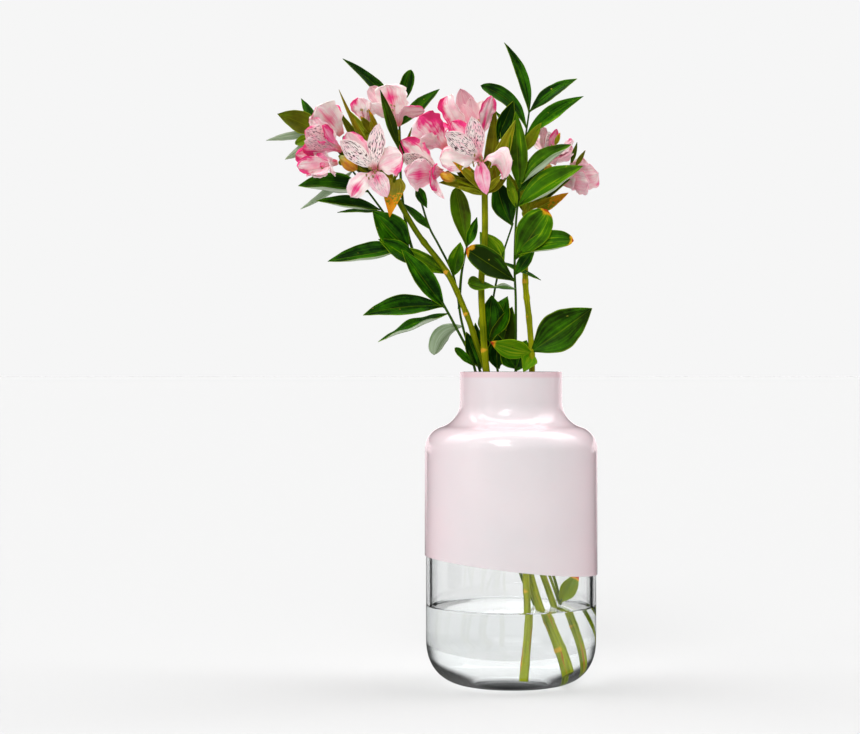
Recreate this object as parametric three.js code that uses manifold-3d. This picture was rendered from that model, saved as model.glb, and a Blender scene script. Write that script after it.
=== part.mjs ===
// Cut alstroemeria stems and ruscus sprigs standing in water in a two-layer glass vase.
// Millimetres, +Z up. The origin is the centre of the vase's base, +X is to the right and
// -Y faces the viewer.
import * as THREE from "three";
import { mergeVertices } from "three/addons/utils/BufferGeometryUtils.js";
import Module from "manifold-3d";

const wasm = await Module();
wasm.setup();

// Clearances
const GAP = 0.3;
const SEAT = 0.35;

// Vase
const RIM_Z = 271.5;
const BODY_RADIUS = 75;
const NECK_RADIUS = 44.4;
const SHOULDER_RADIUS = 20.3;
const SHOULDER_Z = 204.4;
const COVE_RADIUS = 22;
const OPAL_THICKNESS = 0.8;
const OPAL_TOP_DROP = 0.6;
const GLASS_INSET = OPAL_THICKNESS + GAP;
const INNER_INSET = 6;
const RIM_ROUND = 1.6;
const BASE_THICKNESS = 11;
const FOOT_CORNER = 41;
const CAVITY_CORNER = 30;
const CORNER_POWER = 2.4;
const VASE_SIDES = 24;
const OUTER_ARC_STEPS = 3;
const INNER_ARC_STEPS = 2;
const FOOT_STEPS = 4;
const CAVITY_STEPS = 3;

// The slanting lower edge of the opal layer: its height on the axis and its fall along +X
const OPAL_EDGE_Z = 104.2;
const OPAL_EDGE_FALL = 0.109;

// Water
const WATER_Z = 68;

// Plant parts
const BLADE_THICKNESS = 0.7;
const STEM_SIDES = 6;
const SPRIG_SIDES = 5;
const SPRIG_RADIUS = 1.3;
const RAY_RADIUS = 1.2;
const RAY_SIDES = 4;
const RAY_STEPS = 3;
const OVARY_RADIUS = 2.6;
const OVARY_LENGTH = 6.4;
const CORE_RADIUS = 3;
const HUB_RADIUS = 4.2;

const COLOURS = {
  glass: { color: 0xe9eef0, roughness: 0.05, metalness: 0 },
  opal: { color: 0xe4d3d7, roughness: 0.12, metalness: 0 },
  water: { color: 0xdfe8ea, roughness: 0.02, metalness: 0 },
  stem: { color: 0x7e8a18, roughness: 0.55, metalness: 0 },
  leaf: { color: 0x2f6b0a, roughness: 0.45, metalness: 0 },
  petal: { color: 0xf3b4c8, roughness: 0.6, metalness: 0 },
  deepPetal: { color: 0xec7faa, roughness: 0.6, metalness: 0 },
  bud: { color: 0xd99a12, roughness: 0.55, metalness: 0 },
};

// Blade outlines: the share of the length from the root, then the share of the full width
const RUSCUS = [[0, 0.1], [0.3, 0.8], [0.64, 0.92], [1, 0.05]];
const BLUNT = [[0, 0.1], [0.34, 0.65], [0.74, 1], [1, 0.3]];
const STRAP = [[0, 0.35], [0.3, 0.95], [0.7, 0.8], [1, 0.06]];
const SLIM = [[0, 0.15], [0.35, 0.95], [0.7, 0.8], [1, 0.06]];
const BRACT = [[0, 0.5], [0.25, 0.98], [0.62, 0.75], [1, 0.06]];
const OUTER_TEPAL = [[0, 0.12], [0.38, 0.42], [0.74, 1], [1, 0.34]];
const INNER_TEPAL = [[0, 0.16], [0.38, 0.46], [0.72, 1], [1, 0.18]];
const OUTER_FUNNEL = [[0, 0.12], [0.66, 0.95], [1, 0.34]];
const INNER_FUNNEL = [[0, 0.16], [0.64, 0.95], [1, 0.18]];

const vector = (list) => new THREE.Vector3(...list);
const radians = THREE.MathUtils.degToRad;

// Closed geometry as a solid.
function solid(geometry) {
  const bare = new THREE.BufferGeometry().setAttribute("position", geometry.getAttribute("position"));
  bare.setIndex(geometry.index);
  const merged = mergeVertices(bare, 1e-4);
  const triVerts = new Uint32Array(merged.index.array);
  const vertProperties = new Float32Array(merged.attributes.position.array);
  return new wasm.Manifold(new wasm.Mesh({ numProp: 3, vertProperties, triVerts }));
}

function joined(solids) {
  return solids.reduce((whole, next) => whole.add(next));
}

// A solid as a named mesh.
function meshOf(name, body, finish) {
  const surface = body.getMesh();
  const geometry = new THREE.BufferGeometry();
  geometry.setAttribute("position", new THREE.BufferAttribute(surface.vertProperties, 3));
  geometry.setIndex(new THREE.BufferAttribute(surface.triVerts, 1));
  geometry.computeVertexNormals();
  const mesh = new THREE.Mesh(geometry, new THREE.MeshStandardMaterial(finish));
  mesh.name = name;
  return mesh;
}

// A closed outline of (radius, height) points turned about the vertical axis.
function turned(outline) {
  const geometry = new THREE.LatheGeometry(outline, VASE_SIDES);
  geometry.rotateX(Math.PI / 2);
  return solid(geometry);
}

// The upper wall from the straight body to a top edge, set in by some distance.
function upperWall(inset, top, steps = OUTER_ARC_STEPS) {
  const reach = SHOULDER_RADIUS + COVE_RADIUS;
  const shoulderX = BODY_RADIUS - SHOULDER_RADIUS;
  const turn = Math.acos((NECK_RADIUS + COVE_RADIUS - shoulderX) / reach);
  const coveX = shoulderX + reach * Math.cos(turn);
  const coveZ = SHOULDER_Z + reach * Math.sin(turn);
  const path = new THREE.Path();
  path.absarc(shoulderX, SHOULDER_Z, SHOULDER_RADIUS - inset, 0, turn, false);
  path.absarc(coveX, coveZ, COVE_RADIUS + inset, turn + Math.PI, Math.PI, true);
  path.lineTo(NECK_RADIUS - inset, top);
  return path.getPoints(steps / 2);
}

// The rounded corner between a floor and an upright wall, from the floor up.
function corner(radius, floor, size, steps) {
  const points = [];
  for (let step = 0; step <= steps; step += 1) {
    const angle = (Math.PI / 2) * (step / steps);
    const out = Math.sin(angle) ** (2 / CORNER_POWER);
    const down = Math.cos(angle) ** (2 / CORNER_POWER);
    points.push(new THREE.Vector2(radius - size + size * out, floor + size - size * down));
  }
  return points;
}

function vaseGlass() {
  const outside = [
    new THREE.Vector2(0, 0),
    ...corner(BODY_RADIUS - GLASS_INSET, 0, FOOT_CORNER, FOOT_STEPS),
    ...upperWall(GLASS_INSET, RIM_Z - RIM_ROUND),
    new THREE.Vector2(NECK_RADIUS - GLASS_INSET - RIM_ROUND, RIM_Z),
  ];
  const inside = [
    new THREE.Vector2(0, BASE_THICKNESS),
    ...corner(BODY_RADIUS - INNER_INSET, BASE_THICKNESS, CAVITY_CORNER, CAVITY_STEPS),
    ...upperWall(INNER_INSET, RIM_Z - RIM_ROUND, INNER_ARC_STEPS),
    new THREE.Vector2(NECK_RADIUS - INNER_INSET + RIM_ROUND, RIM_Z),
  ];
  return turned([...outside, ...inside.reverse()]);
}

function opalLayer() {
  const top = RIM_Z - RIM_ROUND - OPAL_TOP_DROP;
  const low = OPAL_EDGE_Z - 2 * OPAL_EDGE_FALL * BODY_RADIUS;
  const outside = upperWall(0, top);
  const inside = upperWall(OPAL_THICKNESS, top);
  outside.unshift(new THREE.Vector2(BODY_RADIUS, low));
  inside.unshift(new THREE.Vector2(BODY_RADIUS - OPAL_THICKNESS, low));
  const skin = turned([...outside, ...inside.reverse(), outside[0].clone()]);
  const size = 4 * BODY_RADIUS;
  const below = new THREE.BoxGeometry(size, size, size);
  below.translate(0, 0, -size / 2);
  below.rotateY(Math.atan(OPAL_EDGE_FALL));
  below.translate(0, 0, OPAL_EDGE_Z);
  return skin.subtract(solid(below));
}

// What fills the vase up to the water line, before the stems are taken out of it.
function waterFill() {
  const side = BODY_RADIUS - INNER_INSET - GAP;
  return turned([
    new THREE.Vector2(0, BASE_THICKNESS + GAP),
    ...corner(side, BASE_THICKNESS + GAP, CAVITY_CORNER - GAP, CAVITY_STEPS),
    new THREE.Vector2(side, WATER_Z),
    new THREE.Vector2(0, WATER_Z),
  ]);
}

// A round bar along a curve through the given points.
function bar(points, radius, sides, steps) {
  const section = new THREE.Shape();
  for (let side = 0; side < sides; side += 1) {
    const angle = (2 * Math.PI * side) / sides;
    const place = [radius * Math.cos(angle), radius * Math.sin(angle)];
    if (side === 0) section.moveTo(...place);
    else section.lineTo(...place);
  }
  const extrudePath = new THREE.CatmullRomCurve3(points.map(vector), false, "centripetal");
  return solid(new THREE.ExtrudeGeometry(section, { steps, extrudePath, bevelEnabled: false }));
}

// An egg shape whose long axis points along a direction.
function egg(centre, direction, radius, length, sides, rows = 3) {
  const geometry = new THREE.SphereGeometry(radius, sides, rows);
  geometry.scale(1, length / (2 * radius), 1);
  const up = new THREE.Vector3(0, 1, 0);
  geometry.applyQuaternion(new THREE.Quaternion().setFromUnitVectors(up, direction));
  geometry.translate(...centre);
  return solid(geometry);
}

// One row of a blade: left edge, midrib and right edge on the upper face, then back below.
function bladeRow({ curve, face, width, cup, twist }, [along, share], grow) {
  const centre = curve.getPoint(along);
  const tangent = curve.getTangent(along);
  const side = new THREE.Vector3().crossVectors(tangent, face).normalize();
  side.applyAxisAngle(tangent, radians(twist) * along);
  const up = new THREE.Vector3().crossVectors(side, tangent);
  const half = (share * width) / 2 + grow;
  const thick = BLADE_THICKNESS / 2 + grow;
  const place = (across, over) => centre.clone()
    .addScaledVector(side, across * half)
    .addScaledVector(up, over * thick - (across === 0 ? cup * half : 0));
  return [place(-1, 1), place(0, 1), place(1, 1), place(1, -1), place(0, -1), place(-1, -1)];
}

// A leaf or petal with the same triangles on both faces.
function blade(shape, grow = 0) {
  const rows = shape.outline.map((entry) => bladeRow(shape, entry, grow));
  const size = rows[0].length;
  const triangles = [];
  for (let row = 0; row < rows.length - 1; row += 1) {
    for (let place = 0; place < size; place += 1) {
      const next = (place + 1) % size;
      const [a, b] = [row * size + place, row * size + next];
      const [c, d] = [a + size, b + size];
      if (place < size / 2) triangles.push(a, b, d, a, d, c);
      else triangles.push(a, b, c, b, d, c);
    }
  }
  const last = (rows.length - 1) * size;
  triangles.push(0, 5, 4, 0, 4, 1, 1, 4, 3, 1, 3, 2);
  triangles.push(...[0, 4, 5, 0, 1, 4, 1, 3, 4, 1, 2, 3].map((index) => index + last));
  const positions = rows.flat().flatMap((point) => point.toArray());
  const geometry = new THREE.BufferGeometry();
  geometry.setAttribute("position", new THREE.Float32BufferAttribute(positions, 3));
  geometry.setIndex(triangles);
  return solid(geometry);
}

// A leaf from a root to a tip. Its face looks at the viewer, turned by roll about its length.
// The middle is raised by arch along the face and carried by sway across it.
function leaf(root, tip, width, options = {}) {
  const { roll = 0, arch = 4, sway = 0, cup = 0.15, twist = 0, outline = RUSCUS } = options;
  const [start, end] = [vector(root), vector(tip)];
  const along = end.clone().sub(start).normalize();
  const face = new THREE.Vector3(0, -1, 0).applyAxisAngle(along, radians(roll));
  face.addScaledVector(along, -face.dot(along)).normalize();
  const side = new THREE.Vector3().crossVectors(along, face);
  const middle = start.clone().add(end).multiplyScalar(0.5);
  middle.addScaledVector(face, 2 * arch).addScaledVector(side, 2 * sway);
  const curve = new THREE.QuadraticBezierCurve3(start, middle, end);
  return { curve, face, width, cup, twist, outline };
}

// The six petals of a bloom: clock angle about the axis, the tip's distance from the axis, the
// tip's distance forward of the throat, the width and the outline.
const LEFT_FACE = [
  [18, 30, 10, 22, OUTER_TEPAL],
  [77, 36, 18, 15, INNER_TEPAL],
  [124, 36, 9, 21, OUTER_TEPAL],
  [143, 34, 20, 15, INNER_TEPAL],
  [231, 31, 8, 21, OUTER_TEPAL],
  [298, 32, 11, 14, INNER_TEPAL],
];
const CENTRE_FACE = [
  [-14, 30, 8, 24, OUTER_TEPAL],
  [97, 38, 18, 16, INNER_TEPAL],
  [122, 38, 9, 20, OUTER_TEPAL],
  [144, 40, 20, 17, INNER_TEPAL],
  [180, 36, 10, 21, OUTER_TEPAL],
  [278, 32, 9, 15, INNER_TEPAL],
];
const FUNNEL = [
  [0, 17, 35, 21, OUTER_FUNNEL],
  [60, 12, 39, 12, INNER_FUNNEL],
  [120, 17, 35, 21, OUTER_FUNNEL],
  [180, 12, 39, 12, INNER_FUNNEL],
  [240, 17, 34, 21, OUTER_FUNNEL],
  [300, 12, 37, 12, INNER_FUNNEL],
];

const TOP_FUNNEL = [
  [0, 30, 20, 15, OUTER_FUNNEL],
  ...FUNNEL.slice(1),
];

// How the outer and the inner petals keep apart in the throat: their distance from the axis at
// the root and at the claw, how far forward they sit, and how deeply they are channelled
const OUTER_ROOT = { outward: 2.1, claw: 4.2, forward: 0, cup: 0.15 };
const INNER_ROOT = { outward: 1.5, claw: 2.1, forward: 2, cup: 0.3 };

// The petals of one bloom, each a blade that leaves the throat along the axis and flares.
function petals({ throat, axis, tepals, scale = 1, open = 1, turn = 0 }) {
  const heading = vector(axis).normalize();
  const upright = Math.abs(heading.z) > 0.9 ? new THREE.Vector3(0, 1, 0) : new THREE.Vector3(0, 0, 1);
  const right = new THREE.Vector3().crossVectors(upright, heading).normalize();
  const over = new THREE.Vector3().crossVectors(heading, right);
  return tepals.map(([clock, reach, rise, width, outline]) => {
    const angle = radians(clock + turn);
    const out = right.clone().multiplyScalar(Math.cos(angle)).addScaledVector(over, Math.sin(angle));
    const isOuter = outline === OUTER_TEPAL || outline === OUTER_FUNNEL;
    const { outward, claw, forward, cup } = isOuter ? OUTER_ROOT : INNER_ROOT;
    const point = (ahead, aside) => vector(throat)
      .addScaledVector(heading, ahead * scale)
      .addScaledVector(out, aside * scale);
    const curve = new THREE.CubicBezierCurve3(
      point(2.5, outward),
      point(12 + forward, claw),
      point(Math.max(0.62 * rise, 17) + forward, 0.42 * reach * open),
      point(rise, reach * open),
    );
    const face = heading.clone().sub(out).normalize();
    return { curve, face, width: width * scale, cup, twist: 0, outline };
  });
}

// The stems. Each starts on the floor of the vase, goes up through the neck and ends at its head.
const STEMS = {
  left: {
    radius: 2.6,
    route: [
      [52, -6, 17.5], [46, -5, 40], [36.5, -4, 70], [28, -4, 94], [8, -3, 150], [-12, -2, 220],
      [-23, -2, 276], [-29, -3, 293], [-39, -5, 322], [-56, -6, 358], [-81, -6, 391], [-103, -4, 429],
    ],
  },
  centre: {
    radius: 3,
    route: [
      [43, -34, 17], [34, -33, 40], [23, -31, 70], [16, -28, 94], [2, -24, 150], [-14, -18, 220],
      [-22, -14, 276], [-25, -12, 316], [-26, -10, 350], [-23, -8, 386], [-23, -6, 428],
    ],
  },
  right: {
    radius: 2.75,
    route: [
      [8, -47, 13.5], [12, -43, 67], [11, -40, 100], [14, -24, 190], [18, -6, 276], [16, 2, 316],
      [13, 6, 346], [13, 10, 370], [14, 14, 410],
    ],
  },
};

// The umbels: where the stalks part, then each bloom's throat, axis, petals and their size.
const UMBELS = {
  left: {
    hub: [-103, -4, 429],
    blooms: [
      { throat: [-116, -16, 444], axis: [-0.25, -0.95, 0.15], tepals: LEFT_FACE },
      { throat: [-149, -14, 452], axis: [-0.8, -0.55, -0.02], tepals: FUNNEL, open: 1.1, turn: 20 },
      { throat: [-145, -8, 462], axis: [-0.8, -0.4, 0.4], tepals: FUNNEL, turn: 50 },
      { throat: [-146, 8, 477], axis: [-0.62, -0.2, 0.76], tepals: FUNNEL, scale: 0.82, turn: 0 },
      { throat: [-99, 2, 482], axis: [-0.3, -0.3, 0.9], tepals: TOP_FUNNEL, open: 1.1 },
      { throat: [-126, 10, 484], axis: [-0.05, -0.05, 1], tepals: FUNNEL, scale: 0.7, turn: 0 },
    ],
    buds: [{ tip: [-144, -22, 452], root: [-133, -18, 446], radius: 5 }],
    bracts: [
      leaf([-101, -1.5, 440], [-105, -24, 404], 20, { outline: BRACT, arch: 6 }),
      leaf([-103, 0, 431], [-151, 4, 500], 12, { outline: STRAP, arch: -3, roll: 20 }),
      leaf([-103, -2, 431], [-150, 10, 518], 7, { outline: STRAP, arch: -4, roll: 40 }),
      leaf([-103, -2, 432], [-140, 22, 499], 14, { outline: STRAP, arch: -4, roll: -30 }),
    ],
  },
  centre: {
    hub: [-23, -6, 428],
    blooms: [
      { throat: [-21, -14, 450], axis: [-0.3, -0.92, 0.2], tepals: CENTRE_FACE },
      { throat: [-29, 8, 464], axis: [-0.05, -0.12, 1], tepals: FUNNEL, scale: 1.25, open: 1.5, turn: -30 },
      { throat: [-56, -2, 463], axis: [-0.75, -0.2, 0.62], tepals: FUNNEL, turn: 0 },
      { throat: [-57, -12, 443], axis: [-0.82, -0.5, 0.12], tepals: FUNNEL, scale: 1.1, open: 1.2, turn: 30 },
    ],
    buds: [
      { tip: [-60, -22, 442], root: [-49, -19, 437], radius: 4.4 },
      { tip: [-43, -20, 449], root: [-34, -16, 441], radius: 4.2 },
    ],
    bracts: [
      leaf([-23, -8, 428], [-50, -22, 456], 7, { outline: STRAP, arch: 2, roll: 20 }),
      leaf([-23, -8, 427], [-63, -18, 434], 11, { outline: STRAP, arch: 2, sway: 3, roll: 10 }),
      leaf([-22, -6, 429], [-10, -10, 449], 13, { outline: STRAP, arch: 2 }),
      leaf([-22, -3, 429], [3, 2, 488], 14, { outline: STRAP, arch: -4, roll: 20 }),
      leaf([-22, -2, 430], [-14, 2, 502], 13, { outline: STRAP, arch: -4, roll: -20 }),
    ],
  },
  right: {
    hub: [14, 14, 410],
    blooms: [
      { throat: [31, 16, 452], axis: [0.25, -0.45, 0.86], tepals: FUNNEL, scale: 0.9, turn: 30 },
      { throat: [43, 14, 436], axis: [0.86, -0.4, 0.4], tepals: FUNNEL, open: 1.2, turn: 0 },
    ],
    buds: [{ tip: [35, 4, 452], root: [30, 7, 443], radius: 3.8 }],
    bracts: [
      leaf([15, 12, 411], [50, 2, 428], 11, { outline: STRAP, arch: 2, roll: 20 }),
      leaf([15, 13, 412], [53, 2, 440], 7, { outline: STRAP, arch: 2, roll: 30 }),
      leaf([13, 12, 411], [-3, 8, 446], 9, { outline: STRAP, arch: 2, roll: 20 }),
      leaf([14, 14, 412], [27, 26, 456], 14, { outline: STRAP, arch: -3, roll: 10 }),
    ],
  },
};

// Leaves on the right alstroemeria stem, just above the mouth
const RIGHT_LEAVES = [
  leaf([17.5, -5, 289], [69, -20, 326], 30, { arch: 3, roll: 10 }),
  leaf([17.5, -6, 288], [-18.5, -24, 297], 20, { arch: 3, roll: -40, cup: 0.3 }),
  leaf([17.5, -6, 286], [10, -18, 271], 15, { arch: 2, outline: BRACT }),
];

// The ruscus sprigs: each route starts at the foot, and a branch leaves its main stem.
const SPRIGS = {
  ruscus_far_left: {
    routes: [
      [
        [58, 14, 27], [55, 14, 40], [43, 14, 70], [34, 14, 94], [0, 12, 160], [-24, 8, 220], [-32, 0, 276],
        [-49, -2, 312], [-70, 0, 349], [-90, 4, 380], [-112, 8, 412], [-138, 14, 447], [-155, 18, 470],
        [-170, 18, 484],
      ],
      [[-80, 2, 363], [-87, 10, 382], [-92, 14, 404], [-96, 20, 440], [-97, 24, 480], [-98, 20, 506]],
    ],
    leaves: [
      leaf([-59, -2, 328], [-128, -18, 320], 19, { roll: 25, sway: 4 }),
      leaf([-54.5, -1.5, 322], [-115, -22, 297], 14, { roll: 45 }),
      leaf([-90, 4, 380], [-159, -6, 367], 17, { roll: 30 }),
      leaf([-89, 4, 378], [-120, -14, 410], 28, { roll: 15 }),
      leaf([-81, 2, 365], [-115, -12, 386], 17, { roll: 25 }),
      leaf([-125, 11, 429], [-185, 0, 433], 21, { roll: 35, sway: 3 }),
      leaf([-114, 9, 413], [-169, -2, 420], 14, { roll: 40 }),
      leaf([-112, 9, 411], [-151, 2, 410], 8, { roll: 60, arch: 2, outline: SLIM }),
      leaf([-138.5, 14, 447.3], [-184, 16, 414], 8, { roll: 150, arch: 3, sway: 3, outline: SLIM }),
      leaf([-58, -1, 327], [-95, -14, 377], 19, { roll: 20 }),
      leaf([-66, -1, 341], [-86, 8, 366], 9, { roll: 40, arch: 2, outline: SLIM }),
      leaf([-166, 18, 481], [-204, 12, 497], 20, { roll: 10, sway: 1 }),
      leaf([-168, 18, 482], [-184, 24, 512], 10, { roll: 20, arch: 2, outline: SLIM }),
      leaf([-168, 18, 481], [-214, 14, 474], 9, { roll: 140, arch: 2, outline: SLIM }),
      leaf([-162, 18, 476], [-197, 10, 457], 11, { roll: 150, arch: 2 }),
      leaf([-166, 18, 479], [-188, 6, 470], 10, { roll: 20, arch: 2, outline: BLUNT }),
      leaf([-32, 0, 276], [-49, -12, 292], 8, { roll: 30, arch: 1, outline: BLUNT }),
      leaf([43.5, 14, 69], [61, 13, 95], 13, { roll: 10, arch: 2 }),
      leaf([-97, 22, 500], [-147, 16, 546], 11, { roll: 25, arch: 3, sway: 2 }),
      leaf([-97.5, 20, 504], [-87, 14, 536], 12, { roll: 10, arch: 2, outline: BLUNT }),
      leaf([-97, 24, 488], [-62, 14, 519], 12, { roll: 25, arch: 3 }),
    ],
  },
  ruscus_left: {
    routes: [
      [
        [55, 27, 27], [54, 27, 40], [45, 27, 70], [38, 26, 94], [8, 22, 150], [-14, 16, 220], [-28, 9, 276],
        [-37, 8, 295], [-43, 7, 316], [-47, 6, 342], [-51, 5, 358], [-63, 3, 382], [-71, 0, 397],
        [-82, -6, 432], [-89, -14, 450], [-97, -20, 470],
      ],
      [[-45, 7, 326], [-43, 6, 356], [-38, 5, 382]],
    ],
    leaves: [
      leaf([-97, -20, 468], [-113, -30, 508], 15, { roll: 15, arch: 2 }),
      leaf([-43.5, 7, 316], [-72, 2, 289], 18, { roll: 160, arch: 3, outline: BLUNT }),
      leaf([-63, 3, 382], [-94, -1, 377], 15, { roll: 20, arch: 1 }),
      leaf([-71, 0, 396], [-94, 5, 418], 8, { roll: 20, arch: 2, outline: SLIM }),
      leaf([-82, -6, 432], [-73, -12, 413], 9, { roll: 10, arch: 1, outline: SLIM }),
      leaf([-50, 6, 355], [-44, 2, 384], 12, { roll: 10, arch: 2 }),
      leaf([-38.5, 5, 380], [-49, 6, 424], 17, { roll: 10, arch: 3 }),
      leaf([-38, 5, 381], [-29.5, 2, 406], 9, { roll: 10, arch: 2, outline: SLIM }),
      leaf([-29, 8.5, 276], [-37, 3, 303], 9, { roll: 10, arch: -1, outline: SLIM }),
    ],
  },
  ruscus_middle: {
    routes: [
      [
        [36, 9, 13], [20, 7, 70], [9, 6, 94], [0, 4, 150], [-5, 4, 220], [-12, 4, 276], [-17, 4, 299],
        [-18, 4, 316], [-15, 4, 337], [-8, 4, 370], [2, 4, 401],
      ],
    ],
    leaves: [
      leaf([-17, 4, 296], [-17, -3, 338], 26, { roll: 20, arch: 2 }),
      leaf([-17.5, 4, 300], [-3, -1, 337], 22, { roll: -25, arch: 2 }),
      leaf([-8.5, 4, 369], [-20, 2, 390], 14, { roll: 160, arch: 2 }),
      leaf([1, 4, 399], [-13, 2, 439], 22, { roll: 15, arch: -2 }),
      leaf([-8, 4, 367], [26, -1, 351], 7, { roll: 50, arch: 1, outline: SLIM }),
      leaf([-12, 4, 274], [-12, -8, 304], 20, { roll: 10, arch: 2 }),
    ],
  },
  ruscus_tall: {
    routes: [
      [
        [38, -20, 13], [24, -18, 70], [16, -16, 100], [12, -15, 120], [6, -12, 170], [4, -6, 235], [4, -3, 276],
        [4, -4, 334], [3, -5, 360], [4, -6, 399], [7, -6, 429], [11, -4, 464], [16, -2, 499],
      ],
    ],
    leaves: [
      leaf([15.5, -2, 496], [-6, -4, 557], 11, { roll: 20, arch: 2, sway: 5 }),
      leaf([16, -2, 497], [57, -8, 525], 13, { roll: 25, sway: -2 }),
      leaf([12.5, -3, 475], [62, -14, 509], 14, { roll: 20, sway: -3 }),
      leaf([13.5, -3, 482], [-26.5, -2, 520], 14, { roll: 20, sway: 7, outline: BLUNT }),
      leaf([9.5, -4, 454], [3, 4, 506], 20, { roll: 10, arch: -2, sway: -6 }),
      leaf([7, -6, 429], [3.5, -16, 496], 17, { roll: 10, arch: 2 }),
      leaf([12, -3, 470], [-14, 10, 500], 7, { roll: 20, arch: -1, outline: SLIM }),
      leaf([11, -4, 462], [26, -8, 487], 10, { roll: 10, arch: 2, outline: SLIM }),
      leaf([8, -6, 434], [51, -18, 467], 17, { roll: 35, sway: -3 }),
      leaf([6, -6, 415], [61, -22, 448], 22, { roll: 30, sway: -3 }),
      leaf([7.5, -6, 428], [31, -1, 453], 10, { roll: 10, arch: 2, outline: SLIM }),
      leaf([3.5, -5, 371], [27, -14, 413], 26, { roll: 10, outline: BLUNT }),
      leaf([3.5, -5, 372], [53, -22, 384], 18, { roll: 25, sway: -4, outline: BLUNT }),
      leaf([3, -5, 355], [21, -8, 380], 11, { roll: 10, arch: 2 }),
      leaf([3, -5, 350], [-39, -28, 377], 23, { roll: 15, outline: BLUNT }),
      leaf([4, -5, 345], [-37, -30, 347], 16, { roll: -20, outline: BLUNT, twist: 60 }),
      leaf([4, -3, 272], [14, 8, 299], 20, { roll: 10, arch: 1 }),
      leaf([4, -3, 274], [-8, -14, 296], 18, { roll: 10, arch: 2 }),
    ],
  },
};

// The end of a flower stalk, where its bloom or bud is seated.
function seatOf(throat, axis) {
  return throat.clone().addScaledVector(axis, -SEAT);
}

// A flower stalk from the hub, with the green ovary at its end.
function ray(hub, throat, axis, grow) {
  const end = seatOf(throat, axis);
  const under = end.clone().addScaledVector(axis, -OVARY_LENGTH * 0.8);
  const bend = vector(hub).lerp(under, 0.6).addScaledVector(axis, -OVARY_LENGTH * 0.6);
  const route = [hub, bend.toArray(), under.toArray()];
  const ovary = end.clone().addScaledVector(axis, -OVARY_LENGTH / 2 - grow);
  return [
    bar(route, RAY_RADIUS + grow, RAY_SIDES, RAY_STEPS),
    egg(ovary, axis, OVARY_RADIUS + grow, OVARY_LENGTH, 6),
  ];
}

// A flower stalk that ends in a bud.
function budRay(hub, bud, grow) {
  const root = vector(bud.root);
  const axis = vector(bud.tip).sub(root).normalize();
  const end = root.addScaledVector(axis, -SEAT);
  const bend = vector(hub).lerp(end, 0.6).addScaledVector(axis, -3);
  return bar([hub, bend.toArray(), end.toArray()], RAY_RADIUS + grow, RAY_SIDES, RAY_STEPS);
}

const axisOf = (bloom) => vector(bloom.axis).normalize();

// A piece is a firm body, which is kept whole, and blades, which give way to other pieces.
function stemPiece(side) {
  const { radius, route } = STEMS[side];
  const umbel = UMBELS[side];
  const firm = (grow) => joined([
    bar(route, radius + grow, STEM_SIDES, route.length),
    egg(vector(umbel.hub), new THREE.Vector3(0, 0, 1), HUB_RADIUS + grow, 2 * HUB_RADIUS, 6),
    ...umbel.blooms.flatMap((bloom) => ray(umbel.hub, vector(bloom.throat), axisOf(bloom), grow)),
    ...umbel.buds.map((bud) => budRay(umbel.hub, bud, grow)),
  ]);
  const blades = [...umbel.bracts, ...(side === "right" ? RIGHT_LEAVES : [])];
  return { name: `alstroemeria_${side}`, finish: COLOURS.stem, firm, blades };
}

function bloomPiece(side, bloom, index) {
  const axis = axisOf(bloom);
  const throat = vector(bloom.throat);
  const radius = CORE_RADIUS * (bloom.scale ?? 1);
  const core = throat.clone().addScaledVector(axis, radius);
  const firm = (grow) => egg(core, axis, radius + grow, 2 * (radius + grow), 6, 4);
  const blades = petals(bloom);
  const finish = bloom.tepals === FUNNEL ? COLOURS.deepPetal : COLOURS.petal;
  return { name: `bloom_${side}_${index + 1}`, finish, firm, blades };
}

function budPiece(side, bud, index) {
  const [tip, root] = [vector(bud.tip), vector(bud.root)];
  const axis = tip.clone().sub(root);
  const length = axis.length();
  const middle = root.clone().lerp(tip, 0.5);
  const firm = (grow) => egg(middle, axis.clone().normalize(), bud.radius + grow, length + 2 * grow, 8, 4);
  return { name: `bud_${side}_${index + 1}`, finish: COLOURS.bud, firm, blades: [] };
}

function sprigPiece(name, { routes, leaves }) {
  const firm = (grow) => joined(
    routes.map((route) => bar(route, SPRIG_RADIUS + grow, SPRIG_SIDES, route.length)),
  );
  return { name, finish: COLOURS.leaf, firm, blades: leaves };
}

const SIDES = Object.keys(UMBELS);
const pieces = [
  ...SIDES.map(stemPiece),
  ...SIDES.flatMap((side) => UMBELS[side].buds.map((bud, index) => budPiece(side, bud, index))),
  ...SIDES.flatMap((side) => UMBELS[side].blooms.map((bloom, index) => bloomPiece(side, bloom, index))),
  ...Object.entries(SPRIGS).map(([name, sprig]) => sprigPiece(name, sprig)),
];

const overlap = (a, b) => a.intersect(b).volume() > 0;

// Joins each piece's blades to its firm body. A blade is cut clear of the other pieces' firm
// bodies and of the blades set before it, and only what stays rooted is kept.
function grown(plantPieces, vase) {
  const firm = plantPieces.map((piece) => piece.firm(0));
  const wide = plantPieces.map((piece) => piece.firm(GAP));
  const set = [];
  return plantPieces.map((piece, owner) => {
    let body = firm[owner];
    for (const shape of piece.blades) {
      let petal = blade(shape);
      const others = [
        vase,
        ...wide.filter((_, index) => index !== owner),
        ...set.filter((entry) => entry.owner !== owner).map((entry) => entry.solid),
      ];
      for (const other of others) {
        if (overlap(petal, other)) petal = petal.subtract(other);
      }
      const rooted = petal.decompose().filter((part) => overlap(part, firm[owner]));
      if (!rooted.length) throw new Error(`${piece.name}: blade ${piece.blades.indexOf(shape)} has no root`);
      body = joined([body, ...rooted]);
      set.push({ owner, solid: blade(shape, GAP) });
    }
    return body;
  });
}

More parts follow.
